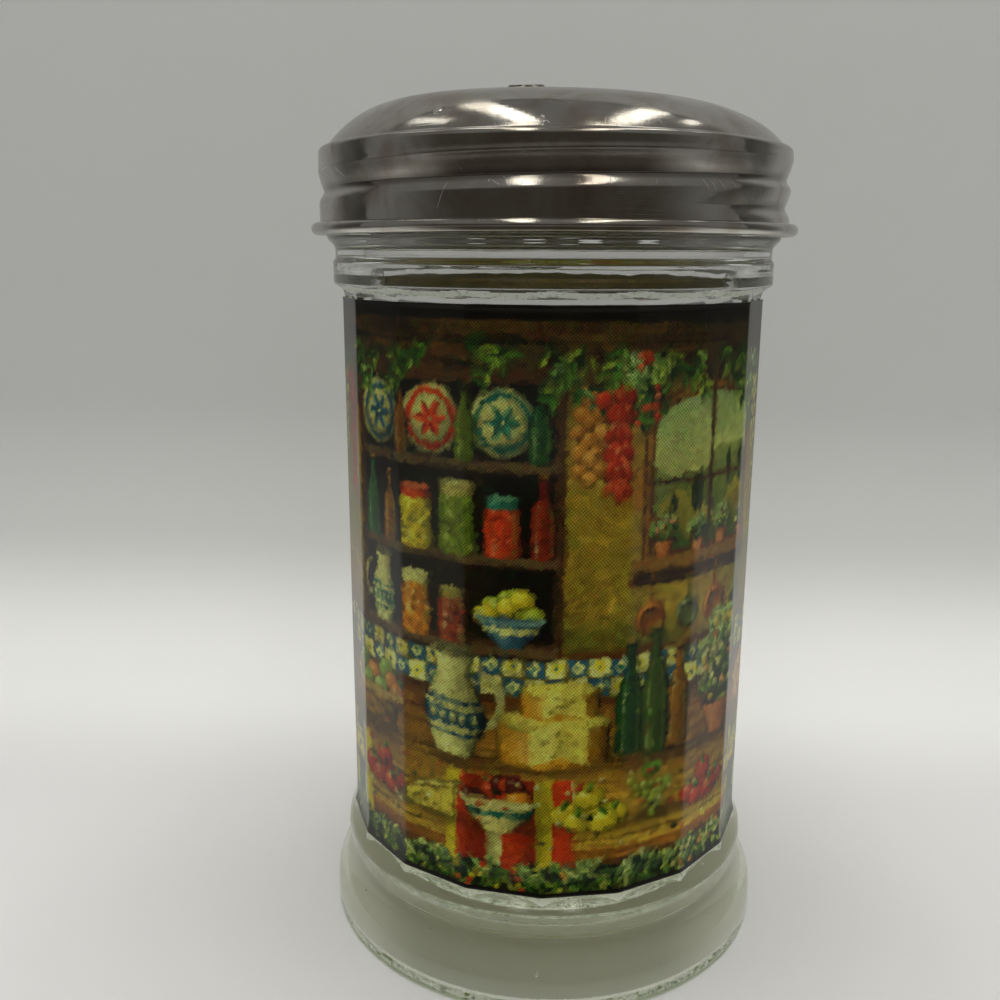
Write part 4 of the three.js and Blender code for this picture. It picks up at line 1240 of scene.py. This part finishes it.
def makePrintMaterial():
    material, tree, out = startMaterial("Printed film")
    paint = node(tree, "ShaderNodeAttribute", {"attribute_name": "printPaint"}).outputs["Color"]
    place = useGroup(tree, roundCoordinates, Girth_radius=wrapLook["outside"]).outputs["Vector"]
    # crossed screens of ink dots, one per colour and one of black over all, strongest in the middle tones
    dots = []
    for angle in (*wrapLook["screenAngles"], wrapLook["blackAngle"]):
        turned = node(tree, "ShaderNodeVectorRotate", {"rotation_type": "Z_AXIS"}, Vector=place,
                      Angle=math.radians(angle)).outputs[0]
        parts = separated(tree, turned)
        rate = 2 * math.pi / wrapLook["screenPitch"]
        waves = [mathNode(tree, "SINE", product(tree, parts[i], rate)) for i in range(2)]
        dots.append(product(tree, waves[0], waves[1]))
    black = product(tree, dots.pop(), wrapLook["blackScreen"])
    dots = [mathNode(tree, "MULTIPLY_ADD", dot, wrapLook["colourScreen"], black) for dot in dots]
    screen = node(tree, "ShaderNodeCombineXYZ", i0=dots[0], i1=dots[1], i2=dots[2]).outputs[0]
    middle = vectorMath(tree, "MULTIPLY", paint, vectorMath(tree, "SUBTRACT", (1, 1, 1), paint))
    ink = vectorMath(tree, "MULTIPLY", middle, screen)
    colour = vectorMath(tree, "ADD", ink, paint)
    surface = node(tree, "ShaderNodeBsdfPrincipled", None, Base_Color=colour, IOR=1.5, Specular_IOR_Level=0.0,
                   Roughness=wrapLook["paperRoughness"], Coat_Weight=wrapLook["coat"],
                   Coat_Roughness=wrapLook["gloss"])
    letLampsThrough(tree, out, surface, wrapLook["throughLight"])
    return material


def makeWrap():
    columns, rows, low, high = (wrapLook[key] for key in ("columns", "rows", "low", "high"))
    outerHeight = np.linspace(low, high, rows)
    innerHeight = np.concatenate([np.linspace(high, 100, 36), np.linspace(96, 26, 14), np.linspace(22.6, low, 17)])
    height = np.concatenate([outerHeight, innerHeight])[:, None] * np.ones(columns)
    az = np.broadcast_to(columnAngles(columns) - 180, height.shape)
    height = height + wrapLook["frontRise"] * (1 + np.cos(np.radians(az))) / 2 * smoothStep(height, 60, 111)
    outside = np.arange(len(height))[:, None] < rows
    face = np.where(outside, wrapLook["outside"], wrapLook["inside"])
    corner = face + panelCorner(height) - jarLook["panelRadius"]
    points = roundPoints(panelShape(corner, az, jarLook["ridgeRound"]), height, az)
    wrap = finishMesh("printWrap", points.reshape(-1, 3), ringQuads(len(height), columns, 0, True),
                      [makePrintMaterial()], "jar")
    paint = paintPrint(rows, columns)
    innerRow = np.round((innerHeight - low) / (high - low) * (rows - 1)).astype(int)
    inner = paint[np.clip(innerRow, 0, rows - 1)]
    inner = np.clip(inner * 1.1 + np.array(wrapLook["backing"]) * 0.75, 0, 0.95)  # the film's back is paler
    display = np.concatenate([paint, inner]).reshape(-1, 3)
    linear = np.where(display <= 0.04045, display / 12.92, ((display + 0.055) / 1.055) ** 2.4)
    storeColour(wrap, "printPaint", linear)
    return wrap


printWrap = makeWrap()
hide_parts("picture_wrap")
print("printed wrap ready")


# steel screw cap

capLook = {
    "colour": (0.48, 0.465, 0.43, 1.0),
    "stain": (0.30, 0.255, 0.195, 1.0),
    "rust": (0.29, 0.215, 0.165, 1.0),
    # a darker tone for the rolled groove, the holes' edges and the dark marks
    "darkTone": (0.10, 0.085, 0.065, 1.0),
    "bright": (0.85, 0.84, 0.80, 1.0),
    "roughness": 0.10,
    # azimuth, height, half length, half width, tilt, and whether the mark is dark
    "marks": [(-58.5, 133.9, 1.3, 0.11, 88, True), (-66.0, 131.2, 3.0, 0.06, 3, False),
              (-55.5, 130.3, 1.6, 0.06, 152, False), (-23.0, 126.3, 2.3, 0.05, 68, False),
              (33.0, 128.0, 0.9, 0.05, 125, False), (35.0, 127.9, 0.8, 0.05, 122, False),
              (37.5, 128.1, 0.9, 0.06, 126, False), (41.0, 128.2, 0.8, 0.05, 128, False),
              (152.0, 131.0, 3.2, 0.05, 25, False)],
    "nicks": [(-16.0, -30.95, 137.65), (-17.6, -26.0, 139.6), (21.5, -22.0, 139.2), (4.0, 27.0, 139.9)],
    "columns": 720,
    "sheet": 0.5, "radius": 38.75, "inside": 38.25,
    "crownCurve": 150.0, "lean": 0.015, "leanReach": 24.6,
    "knuckleRound": 17.0, "knuckleCentre": 23.95, "knuckleHeight": 124.63,
    "creaseRadius": 37.57, "shoulderRound": 0.8, "shoulderCentre": 134.10,
    "grooveHeight": 129.15, "grooveDepth": 0.82, "proudEdge": 0.07,
    "curlCentre": 39.25, "curlHeight": 122.32, "curlRound": 0.96, "curlHollow": 0.5, "curlEnd": 470,
    "holeRadius": 2.5, "holePitch": 12.35, "holeTurn": -11.0, "holeColumns": 44, "burr": 0.30, "burrHole": 7,
    "holeRings": (2.5, 2.55, 2.62, 2.70, 2.80, 3.05, 3.5),
}
capLook["crownCentre"] = capLook["knuckleHeight"] - math.sqrt(
    (capLook["crownCurve"] - capLook["knuckleRound"]) ** 2 - capLook["knuckleCentre"] ** 2)


def rolledThread(azimuth, height):
    # how deep the rolled thread presses the skirt in
    depth, proud = np.zeros((2,) + np.broadcast(azimuth, height).shape)
    for turn in (azimuth - 360, azimuth):
        fade = smoothStep(np.minimum((turn + 340) / 40, (120 - turn) / 40))
        across = height - (capLook["grooveHeight"] + threadPitch * turn / 360)
        under = (1 + np.cos(np.pi * np.clip(-across / 2.0, 0, 1))) / 2
        over = np.clip(1 - np.clip(across, 0, None) / 3.0, 0, 1) ** 1.5
        depth = np.maximum(depth, capLook["grooveDepth"] * fade * np.where(across < 0, under, over))
        # the band stands a little proud where the groove starts
        proud = np.maximum(proud, capLook["proudEdge"] * fade * np.exp(-((across - 3.1) / 0.42) ** 2))
    return (depth - proud) * smoothStep(height, 123.02, 123.72)


def crownHeight(radius, sheet=0.0):
    return capLook["crownCentre"] + np.sqrt((capLook["crownCurve"] - sheet) ** 2 - radius ** 2)


def crownLean(x, radius):
    # the dome is pressed a little askew: higher on the left, lower on the right
    across = x / capLook["leanReach"]
    lean = -capLook["leanReach"] * capLook["lean"] * across - 0.07 * across ** 2
    return lean * smoothStep(37.4 - radius, 0, 8)


def makeCapShell():
    c = capLook
    crownSweep = math.degrees(math.atan2(c["knuckleCentre"], c["knuckleHeight"] - c["crownCentre"]))
    creaseSweep = math.degrees(math.asin((c["creaseRadius"] - c["knuckleCentre"]) / c["knuckleRound"]))
    shoulderRadial = c["radius"] - c["shoulderRound"]
    sweep = math.degrees(math.acos((c["creaseRadius"] - shoulderRadial) / c["shoulderRound"]))
    outer, inner = c["knuckleRound"], c["knuckleRound"] - c["sheet"]
    section = joined(
        arcPoints(c["knuckleCentre"], c["knuckleHeight"], inner, 90 - crownSweep, 90 - creaseSweep, 16),
        arcPoints(shoulderRadial, c["shoulderCentre"], c["shoulderRound"] - c["sheet"], sweep, 0, 7),
        linePoints((c["inside"], c["shoulderCentre"]), (c["inside"], c["curlHeight"]), 50),
        arcPoints(c["curlCentre"], c["curlHeight"], c["curlRound"], 180, c["curlEnd"], 34),
        arcPoints(c["curlCentre"], c["curlHeight"], c["curlHollow"], c["curlEnd"], 180, 14),
        linePoints((c["radius"], c["curlHeight"]), (c["radius"], c["shoulderCentre"]), 84),
        arcPoints(shoulderRadial, c["shoulderCentre"], c["shoulderRound"], 0, sweep, 14),
        arcPoints(c["knuckleCentre"], c["knuckleHeight"], outer, 90 - creaseSweep, 90 - crownSweep, 30),
    )
    radius, height, az = turnedSection(section, c["columns"])
    skirt = (radius > 37.9) & (radius < 39.1)
    dome = (radius < 37.5) & (height > 134)
    height = np.where(dome, height + crownLean(radius * np.sin(np.radians(az)), radius), height)
    radius = np.where(skirt, radius - rolledThread(az, height), radius)
    return roundPoints(radius, height, az), (section[0, 0], section[-1, 0])


def holePlaces():
    # one hole in the middle and two rings of six, all one pitch apart
    places = [(0.0, 0.0)]
    for share, turned in ((1.0, 30.0), (math.sqrt(3), 0.0)):
        for i in range(6):
            turn = math.radians(capLook["holeTurn"] + turned + 60 * i)
            away = capLook["holePitch"] * share
            places.append((away * math.sin(turn), -away * math.cos(turn)))
    return places


def makeCrown(edgeRadius, sheet, columns):
    # the crown's sheet in plan: its edge, rings round each hole and a hexagonal fill
    c = capLook
    holes = holePlaces()
    turns = np.radians(columnAngles(columns))
    plan = [np.c_[edgeRadius * np.sin(turns), -edgeRadius * np.cos(turns)]]
    edges = [(j, (j + 1) % columns) for j in range(columns)]
    count, rims = columns, []
    around = c["holeColumns"]
    holeTurns = np.radians(columnAngles(around))
    for x, y in holes:
        for k, ring in enumerate(c["holeRings"]):
            plan.append(np.c_[x + ring * np.cos(holeTurns), y + ring * np.sin(holeTurns)])
            if k == 0:
                rims.append(count)
                edges += [(count + j, count + (j + 1) % around) for j in range(around)]
            count += around
    step = 1.1
    fill = [(x * step + (y % 2) * step / 2, y * step * 0.866) for x in range(-26, 27) for y in range(-31, 32)]
    fill = [(x, y) for x, y in fill if math.hypot(x, y) < edgeRadius - 0.5
            and min(math.hypot(x - holeX, y - holeY) for holeX, holeY in holes) > 4.0]
    plan = np.concatenate(plan + [np.array(fill)])
    made = delaunay_2d_cdt([Vector(p) for p in plan], edges, [], 0, 1e-5)
    flat = np.array([list(v) for v in made[0]])
    source = {old[0]: new for new, old in enumerate(made[3]) if old}
    centre = np.array([[flat[i] for i in face] for face in made[2]]).mean(1)
    away = np.min([np.hypot(centre[:, 0] - x, centre[:, 1] - y) for x, y in holes], 0)
    triangles = [face for face, off in zip(made[2], away) if off > c["holeRadius"] * 0.999]
    near = np.min([np.hypot(flat[:, 0] - x, flat[:, 1] - y) for x, y in holes], 0)
    radius = np.hypot(flat[:, 0], flat[:, 1])
    # the punch leaves a lip, worn nearly flat at most of the holes
    x, y = holes[c["burrHole"]]
    proud = np.where(np.hypot(flat[:, 0] - x, flat[:, 1] - y) < 4, 1.0, 0.25)
    lip = np.clip(1 - (near - c["holeRadius"]) / 0.3, 0, 1) ** 1.2
    lip = lip * c["burr"] * proud * smoothStep(radius, 3.5, 11)
    height = crownHeight(radius, sheet) + crownLean(flat[:, 0], radius) + lip - 0.11
    return np.c_[flat, height], triangles, source, rims


def makeCapMesh():
    shell, (innerEdge, outerEdge) = makeCapShell()
    rows, columns = shell.shape[:2]
    points = [shell.reshape(-1, 3)]
    faces = ringQuads(rows, columns).tolist()
    count = rows * columns
    rimRows = []
    sides = ((outerEdge, 0.0, (rows - 1) * columns, True), (innerEdge, capLook["sheet"], 0, False))
    for edgeRadius, sheet, ringStart, up in sides:
        crown, triangles, source, rims = makeCrown(edgeRadius, sheet, columns)
        place = np.arange(len(crown)) + count
        for j in range(columns):  # the crown's edge is the shell's own first or last row
            place[source[j]] = ringStart + j
        for face in triangles:
            a, b, d = (crown[i][:2] for i in face)
            turnsLeft = (b[0] - a[0]) * (d[1] - a[1]) - (b[1] - a[1]) * (d[0] - a[0]) > 0
            face = [int(place[i]) for i in face]
            faces.append(face if turnsLeft == up else face[::-1])
        rimRows.append([[int(place[source[start + j]]) for j in range(capLook["holeColumns"])] for start in rims])
        points.append(crown)
        count += len(crown)
    for top, under in zip(*rimRows):  # the punched walls of the holes
        n = len(top)
        faces += [[top[j], under[j], under[(j + 1) % n], top[(j + 1) % n]] for j in range(n)]
    return np.concatenate(points), faces


def makeSteel():
    material, tree, out = startMaterial("Satin steel")
    girthRadius = 38.0
    unrolled = useGroup(tree, roundCoordinates, Girth_radius=girthRadius)
    place = unrolled.outputs["Vector"]
    solid = node(tree, "ShaderNodeVectorMath", {"operation": "SCALE"}, i0=objectPlace(tree),
                 Scale=1 / mm).outputs[0]
    marksAround = useGroup(tree, fineScratches, Vector=place, Scale=1.3, Angle=0.03, Stretch=16.0,
                           Thinness=0.02, Amount=0.22).outputs[0]
    marksAcross = useGroup(tree, fineScratches, Vector=place, Scale=0.55, Angle=1.05, Stretch=14.0,
                           Thinness=0.006, Amount=0.22).outputs[0]
    film = useGroup(tree, handledFilm, Vector=solid, Scale=0.09, Amount=1.0)
    polish = noiseAt(tree, vectorMath(tree, "MULTIPLY", place, (0.06, 3.0, 1.2)), 1.0, 3.0, 0.6)
    pebble = noiseAt(tree, solid, 1.5, 3.0, 0.65)
    # warm tarnish in blotches, and a few rust-brown ones
    tarnish = noiseAt(tree, solid, 0.11, 6.0, 0.62, distortion=0.7)
    brown = noiseAt(tree, solid, 0.075, 3.0, 0.5)
    colour = mixColour(tree, remap(tree, tarnish, 0.40, 0.64, 0.0, 0.6), capLook["colour"], capLook["stain"])
    colour = mixColour(tree, remap(tree, brown, 0.56, 0.68, 0.0, 0.45), colour, capLook["rust"])
    # darker in the rolled groove and round the edges of the holes
    groove = product(tree, remap(tree, unrolled.outputs["Radius"], 37.93, 38.35, 1.0, 0.0),
                     remap(tree, unrolled.outputs["Height"], 133.0, 133.4, 1.0, 0.0), 0.6)
    holeEdges = node(tree, "ShaderNodeAttribute", {"attribute_name": "holeDarkening"}).outputs["Fac"]
    colour = mixColour(tree, greatest(tree, groove, holeEdges), colour, capLook["darkTone"])
    rough = mathNode(tree, "ADD", product(tree, film.outputs["Smear"], 0.10), capLook["roughness"])
    uneven, blotchy = (mathNode(tree, "SUBTRACT", part, 0.5) for part in (polish, tarnish))
    for part, share in ((marksAcross, 0.10), (uneven, 0.10), (blotchy, 0.25)):
        rough = mathNode(tree, "MULTIPLY_ADD", part, share, rough)
    relief = product(tree, polish, 0.6)
    for part, share in ((pebble, 0.75), (marksAround, -0.4), (marksAcross, -0.9)):
        relief = mathNode(tree, "MULTIPLY_ADD", part, share, relief)
    # single scratches and dents, each at its own place on the skirt
    parts = separated(tree, place)
    for azimuth, height, half, wide, tilt, dark in capLook["marks"]:
        c, s = math.cos(math.radians(tilt)), math.sin(math.radians(tilt))
        x = mathNode(tree, "SUBTRACT", parts[0], math.radians(azimuth) * girthRadius)
        y = mathNode(tree, "SUBTRACT", parts[1], height)
        along = mathNode(tree, "ADD", product(tree, x, c), product(tree, y, s))
        across = mathNode(tree, "SUBTRACT", product(tree, y, c), product(tree, x, s))
        within = (remap(tree, mathNode(tree, "ABSOLUTE", off), low, high, 1.0, 0.0)
                  for off, low, high in ((along, half * 0.6, half), (across, wide * 0.4, wide)))
        mask = product(tree, *within)
        colour = mixColour(tree, mask, colour, capLook["darkTone" if dark else "bright"])
        rough = mathNode(tree, "MULTIPLY_ADD", mask, 0.35, rough)
    for nick in capLook["nicks"]:
        away = node(tree, "ShaderNodeVectorMath", {"operation": "DISTANCE"}, i0=solid, i1=nick).outputs["Value"]
        relief = mathNode(tree, "MULTIPLY_ADD", remap(tree, away, 0.1, 0.7, 1.0, 0.0), 9.0, relief)
    bump = node(tree, "ShaderNodeBump", None, Strength=0.5, Distance=0.00002, Height=relief).outputs[0]
    surface = node(tree, "ShaderNodeBsdfPrincipled", None, Base_Color=colour, Metallic=1.0,
                   Roughness=rough, Normal=bump)
    tree.links.new(surface.outputs[0], out.inputs["Surface"])
    return material


capPoints, capFaces = makeCapMesh()
steelCap = finishMesh("steelCap", capPoints, capFaces, [makeSteel()], "cap")
# the top of the cap is darker in a thin ring round each hole's edge
holeDistance = np.min([np.hypot(capPoints[:, 0] - x, capPoints[:, 1] - y) for x, y in holePlaces()], 0)
holeDarkening = np.where(capPoints[:, 2] > 138, 0.9 * smoothStep(2.95 - holeDistance, 0, 0.4), 0)
storeColour(steelCap, "holeDarkening", np.repeat(holeDarkening[:, None], 3, 1))
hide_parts("screw_cap")
print("steel cap ready")


# floor, lamps and camera

studioLook = {
    "floorColour": (0.79, 0.80, 0.80, 1.0),
    # the wall's colour is darker than the floor's: painted shade
    "paintedShadeWall": (0.575, 0.585, 0.585, 1.0),
    # a greyer floor beside the jar and towards the camera: a painted shadow
    "paintedShadowFloor": (0.655, 0.66, 0.665, 1.0),
    # the paper's colour in reflections only: painted dark reflections
    "paintedDarkReflection": (0.052, 0.047, 0.038, 1.0),
    "sweepStart": 88.0,
    "sweepRadius": 70.0,
    "wallTop": 470.0,
    "beyond": (0.40, 0.41, 0.405),
    "ceiling": (0.20, 0.197, 0.187),
    "frontDark": (0.062, 0.057, 0.046),
    "neutral": (1.0, 0.985, 0.96),
    "warm": (1.0, 0.965, 0.875),
    # name, centre, width, length, radiance and tip of the lamps that no reflection shows
    "softBoxes": [("overheadSoft", (0, 0.32, 0.95), 1.0, 1.0, 3.85, 0),
                  ("frontSoft", (0.1, -0.95, 0.62), 0.9, 0.7, 1.1, 62)],
    # name, place, width, length, radiance and turn of the strips that show in steel and glass
    "stripHeight": 0.75,
    "strips": [("stripLeft", (-0.155, 0.19), 0.07, 0.56, 3.2, 17),
               ("stripRight", (0.24, 0.22), 0.08, 0.50, 3.2, -9),
               ("frontStripLeft", (-0.14, -0.42), 0.10, 0.68, 3.2, -7),
               ("frontStripRight", (0.20, -0.40), 0.10, 0.68, 3.2, 5),
               ("sideStripLeft", (-0.37, 0.2), 0.06, 0.22, 1.6, 30),
               ("sideStripRight", (0.43, 0.45), 0.06, 0.5, 1.6, -8)],
    # the photograph's camera
    "lens": 37.35, "sensor": 36.0, "yaw": 2.71, "pitch": -13.48, "roll": 0.28,
    "cameraPlace": (0, -0.182, 0.1189),
}


def makeSweep():
    s = studioLook
    bend, wall = s["sweepRadius"], s["sweepStart"] + s["sweepRadius"]
    section = joined(
        linePoints((-1600, 0), (s["sweepStart"], 0), 20),
        arcPoints(s["sweepStart"], bend, bend, -90, 0, 24),
        linePoints((wall, bend), (wall, s["wallTop"]), 10))
    across = np.linspace(-1500, 1500, 13)
    points = np.array([[x, y, z] for y, z in section for x in across])
    n = len(across)
    faces = [[i * n + j, i * n + j + 1, (i + 1) * n + j + 1, (i + 1) * n + j]
             for i in range(len(section) - 1) for j in range(n - 1)]
    material, tree, out = startMaterial("Paper sweep")
    place = objectPlace(tree)
    height = separated(tree, place)[2]
    # the wall is given a darker colour than the floor, as painted shade
    colour = mixColour(tree, remap(tree, height, 0.0, 0.03), s["floorColour"], s["paintedShadeWall"])
    depth = separated(tree, place)[1]  # away from the camera
    # the floor from beside the jar towards the camera is greyer: a painted shadow
    colour = mixColour(tree, remap(tree, depth, 0.025, 0.085, 1.0, 0.0), colour, s["paintedShadowFloor"])
    # the room in front of the paper is dark; for glossy rays the paper itself is painted dark in front of the
    # shaker, far off, in two bands up the wall and at its top: painted dark reflections in the steel and the film
    level = vectorMath(tree, "MULTIPLY", place, (1, 1, 0))
    away = node(tree, "ShaderNodeVectorMath", {"operation": "LENGTH"}, i0=level).outputs["Value"]
    facing = mathNode(tree, "DIVIDE", product(tree, depth, -1.0), mathNode(tree, "ADD", away, 0.001))
    ahead = remap(tree, facing, 0.0, 0.8)
    wallTop = s["wallTop"] * mm
    lighter = mathNode(tree, "SUBTRACT", 1.0, product(tree, remap(tree, away, 0.34, 0.52, 0.0, 0.26), ahead))
    inFront = product(tree, ahead, remap(tree, away, 0.042, 0.08), lighter)
    beyond = product(tree, remap(tree, away, 0.2, 0.45), 0.7, lighter)
    bands = [remap(tree, height, *span, 0.0, share) for *span, share in ((0.01, 0.08, 0.18), (0.12, 0.3, 0.27))]
    topEdge = remap(tree, height, wallTop - 0.035, wallTop - 0.02, 0.0, 0.9)
    dimmed = greatest(tree, inFront, beyond, *bands, topEdge)
    mirrored = tree.nodes.new("ShaderNodeLightPath").outputs["Is Glossy Ray"]
    colour = mixColour(tree, product(tree, dimmed, mirrored), colour, s["paintedDarkReflection"])
    surface = node(tree, "ShaderNodeBsdfPrincipled", None, Base_Color=colour, Roughness=0.9, Specular_IOR_Level=0.1)
    # the paper isn't seen from behind, where it would hide the shaker
    back = tree.nodes.new("ShaderNodeNewGeometry").outputs["Backfacing"]
    fromBehind = product(tree, back, tree.nodes.new("ShaderNodeLightPath").outputs["Is Camera Ray"])
    nothing = node(tree, "ShaderNodeBsdfTransparent", None, Color=(1.0, 1.0, 1.0, 1.0))
    shown = node(tree, "ShaderNodeMixShader", None, i0=fromBehind, i1=surface.outputs[0], i2=nothing.outputs[0])
    tree.links.new(shown.outputs[0], out.inputs["Surface"])
    mesh = bpy.data.meshes.new("paperSweep")
    mesh.from_pydata(points * mm, [], faces)
    mesh.materials.append(material)
    mesh.shade_smooth()
    sweep = bpy.data.objects.new("paperSweep", mesh)
    scene.collection.objects.link(sweep)


def makeLamp(name, centre, width, length, radiance, turn, tip, colour, inReflections):
    # a rectangle that faces down; radiance is what a mirror would show of it
    lamp = bpy.data.lights.new(name, "AREA")
    lamp.shape, lamp.size, lamp.size_y = "RECTANGLE", width, length
    lamp.energy = radiance * math.pi * width * length
    lamp.color = colour
    holder = bpy.data.objects.new(name, lamp)
    holder.location = centre
    holder.rotation_euler = (math.radians(tip), 0, math.radians(turn))
    holder.visible_glossy = holder.visible_transmission = inReflections
    scene.collection.objects.link(holder)


def makeLamps():
    for name, centre, width, length, radiance, tip in studioLook["softBoxes"]:
        makeLamp(name, centre, width, length, radiance, 0, tip, studioLook["neutral"], False)
    for name, place, width, length, radiance, turn in studioLook["strips"]:
        centre = (*place, studioLook["stripHeight"])
        makeLamp(name, centre, width, length, radiance, turn, 0, studioLook["warm"], True)


def makeWorld():
    world = bpy.data.worlds.new("studioRoom")
    world.use_nodes = True
    tree = world.node_tree
    tree.nodes.clear()
    direction = node(tree, "ShaderNodeTexCoord").outputs["Generated"]
    parts = separated(tree, direction)
    frontward = remap(tree, product(tree, parts[1], -1.0), 0.1, 0.75, 0.0, 1.0)
    low = remap(tree, parts[2], 0.12, 0.5, 1.0, 0.0)
    ceiling, frontDark, beyond = ((*studioLook[key], 1) for key in ("ceiling", "frontDark", "beyond"))
    colour = mixColour(tree, product(tree, frontward, low), ceiling, frontDark)
    path = tree.nodes.new("ShaderNodeLightPath")
    seen = greatest(tree, path.outputs["Is Camera Ray"], path.outputs["Is Transmission Ray"])
    colour = mixColour(tree, seen, colour, beyond)
    light = node(tree, "ShaderNodeBackground", None, Color=colour, Strength=1.0)
    out = tree.nodes.new("ShaderNodeOutputWorld")
    tree.links.new(light.outputs[0], out.inputs[0])
    scene.world = world


def makeCamera():
    s = studioLook
    lens = bpy.data.cameras.new("photoCamera")
    lens.lens, lens.sensor_width, lens.clip_start, lens.clip_end = s["lens"], s["sensor"], 0.01, 20.0
    camera = bpy.data.objects.new("photoCamera", lens)
    turns = ((s["yaw"], "Z"), (90 + s["pitch"], "X"), (s["roll"], "Z"))
    yaw, pitch, roll = (Matrix.Rotation(math.radians(angle), 4, axis) for angle, axis in turns)
    camera.matrix_world = Matrix.Translation(s["cameraPlace"]) @ yaw @ pitch @ roll
    scene.collection.objects.link(camera)
    scene.camera = camera


makeSweep()
makeWorld()
makeLamps()
makeCamera()
print("studio ready")
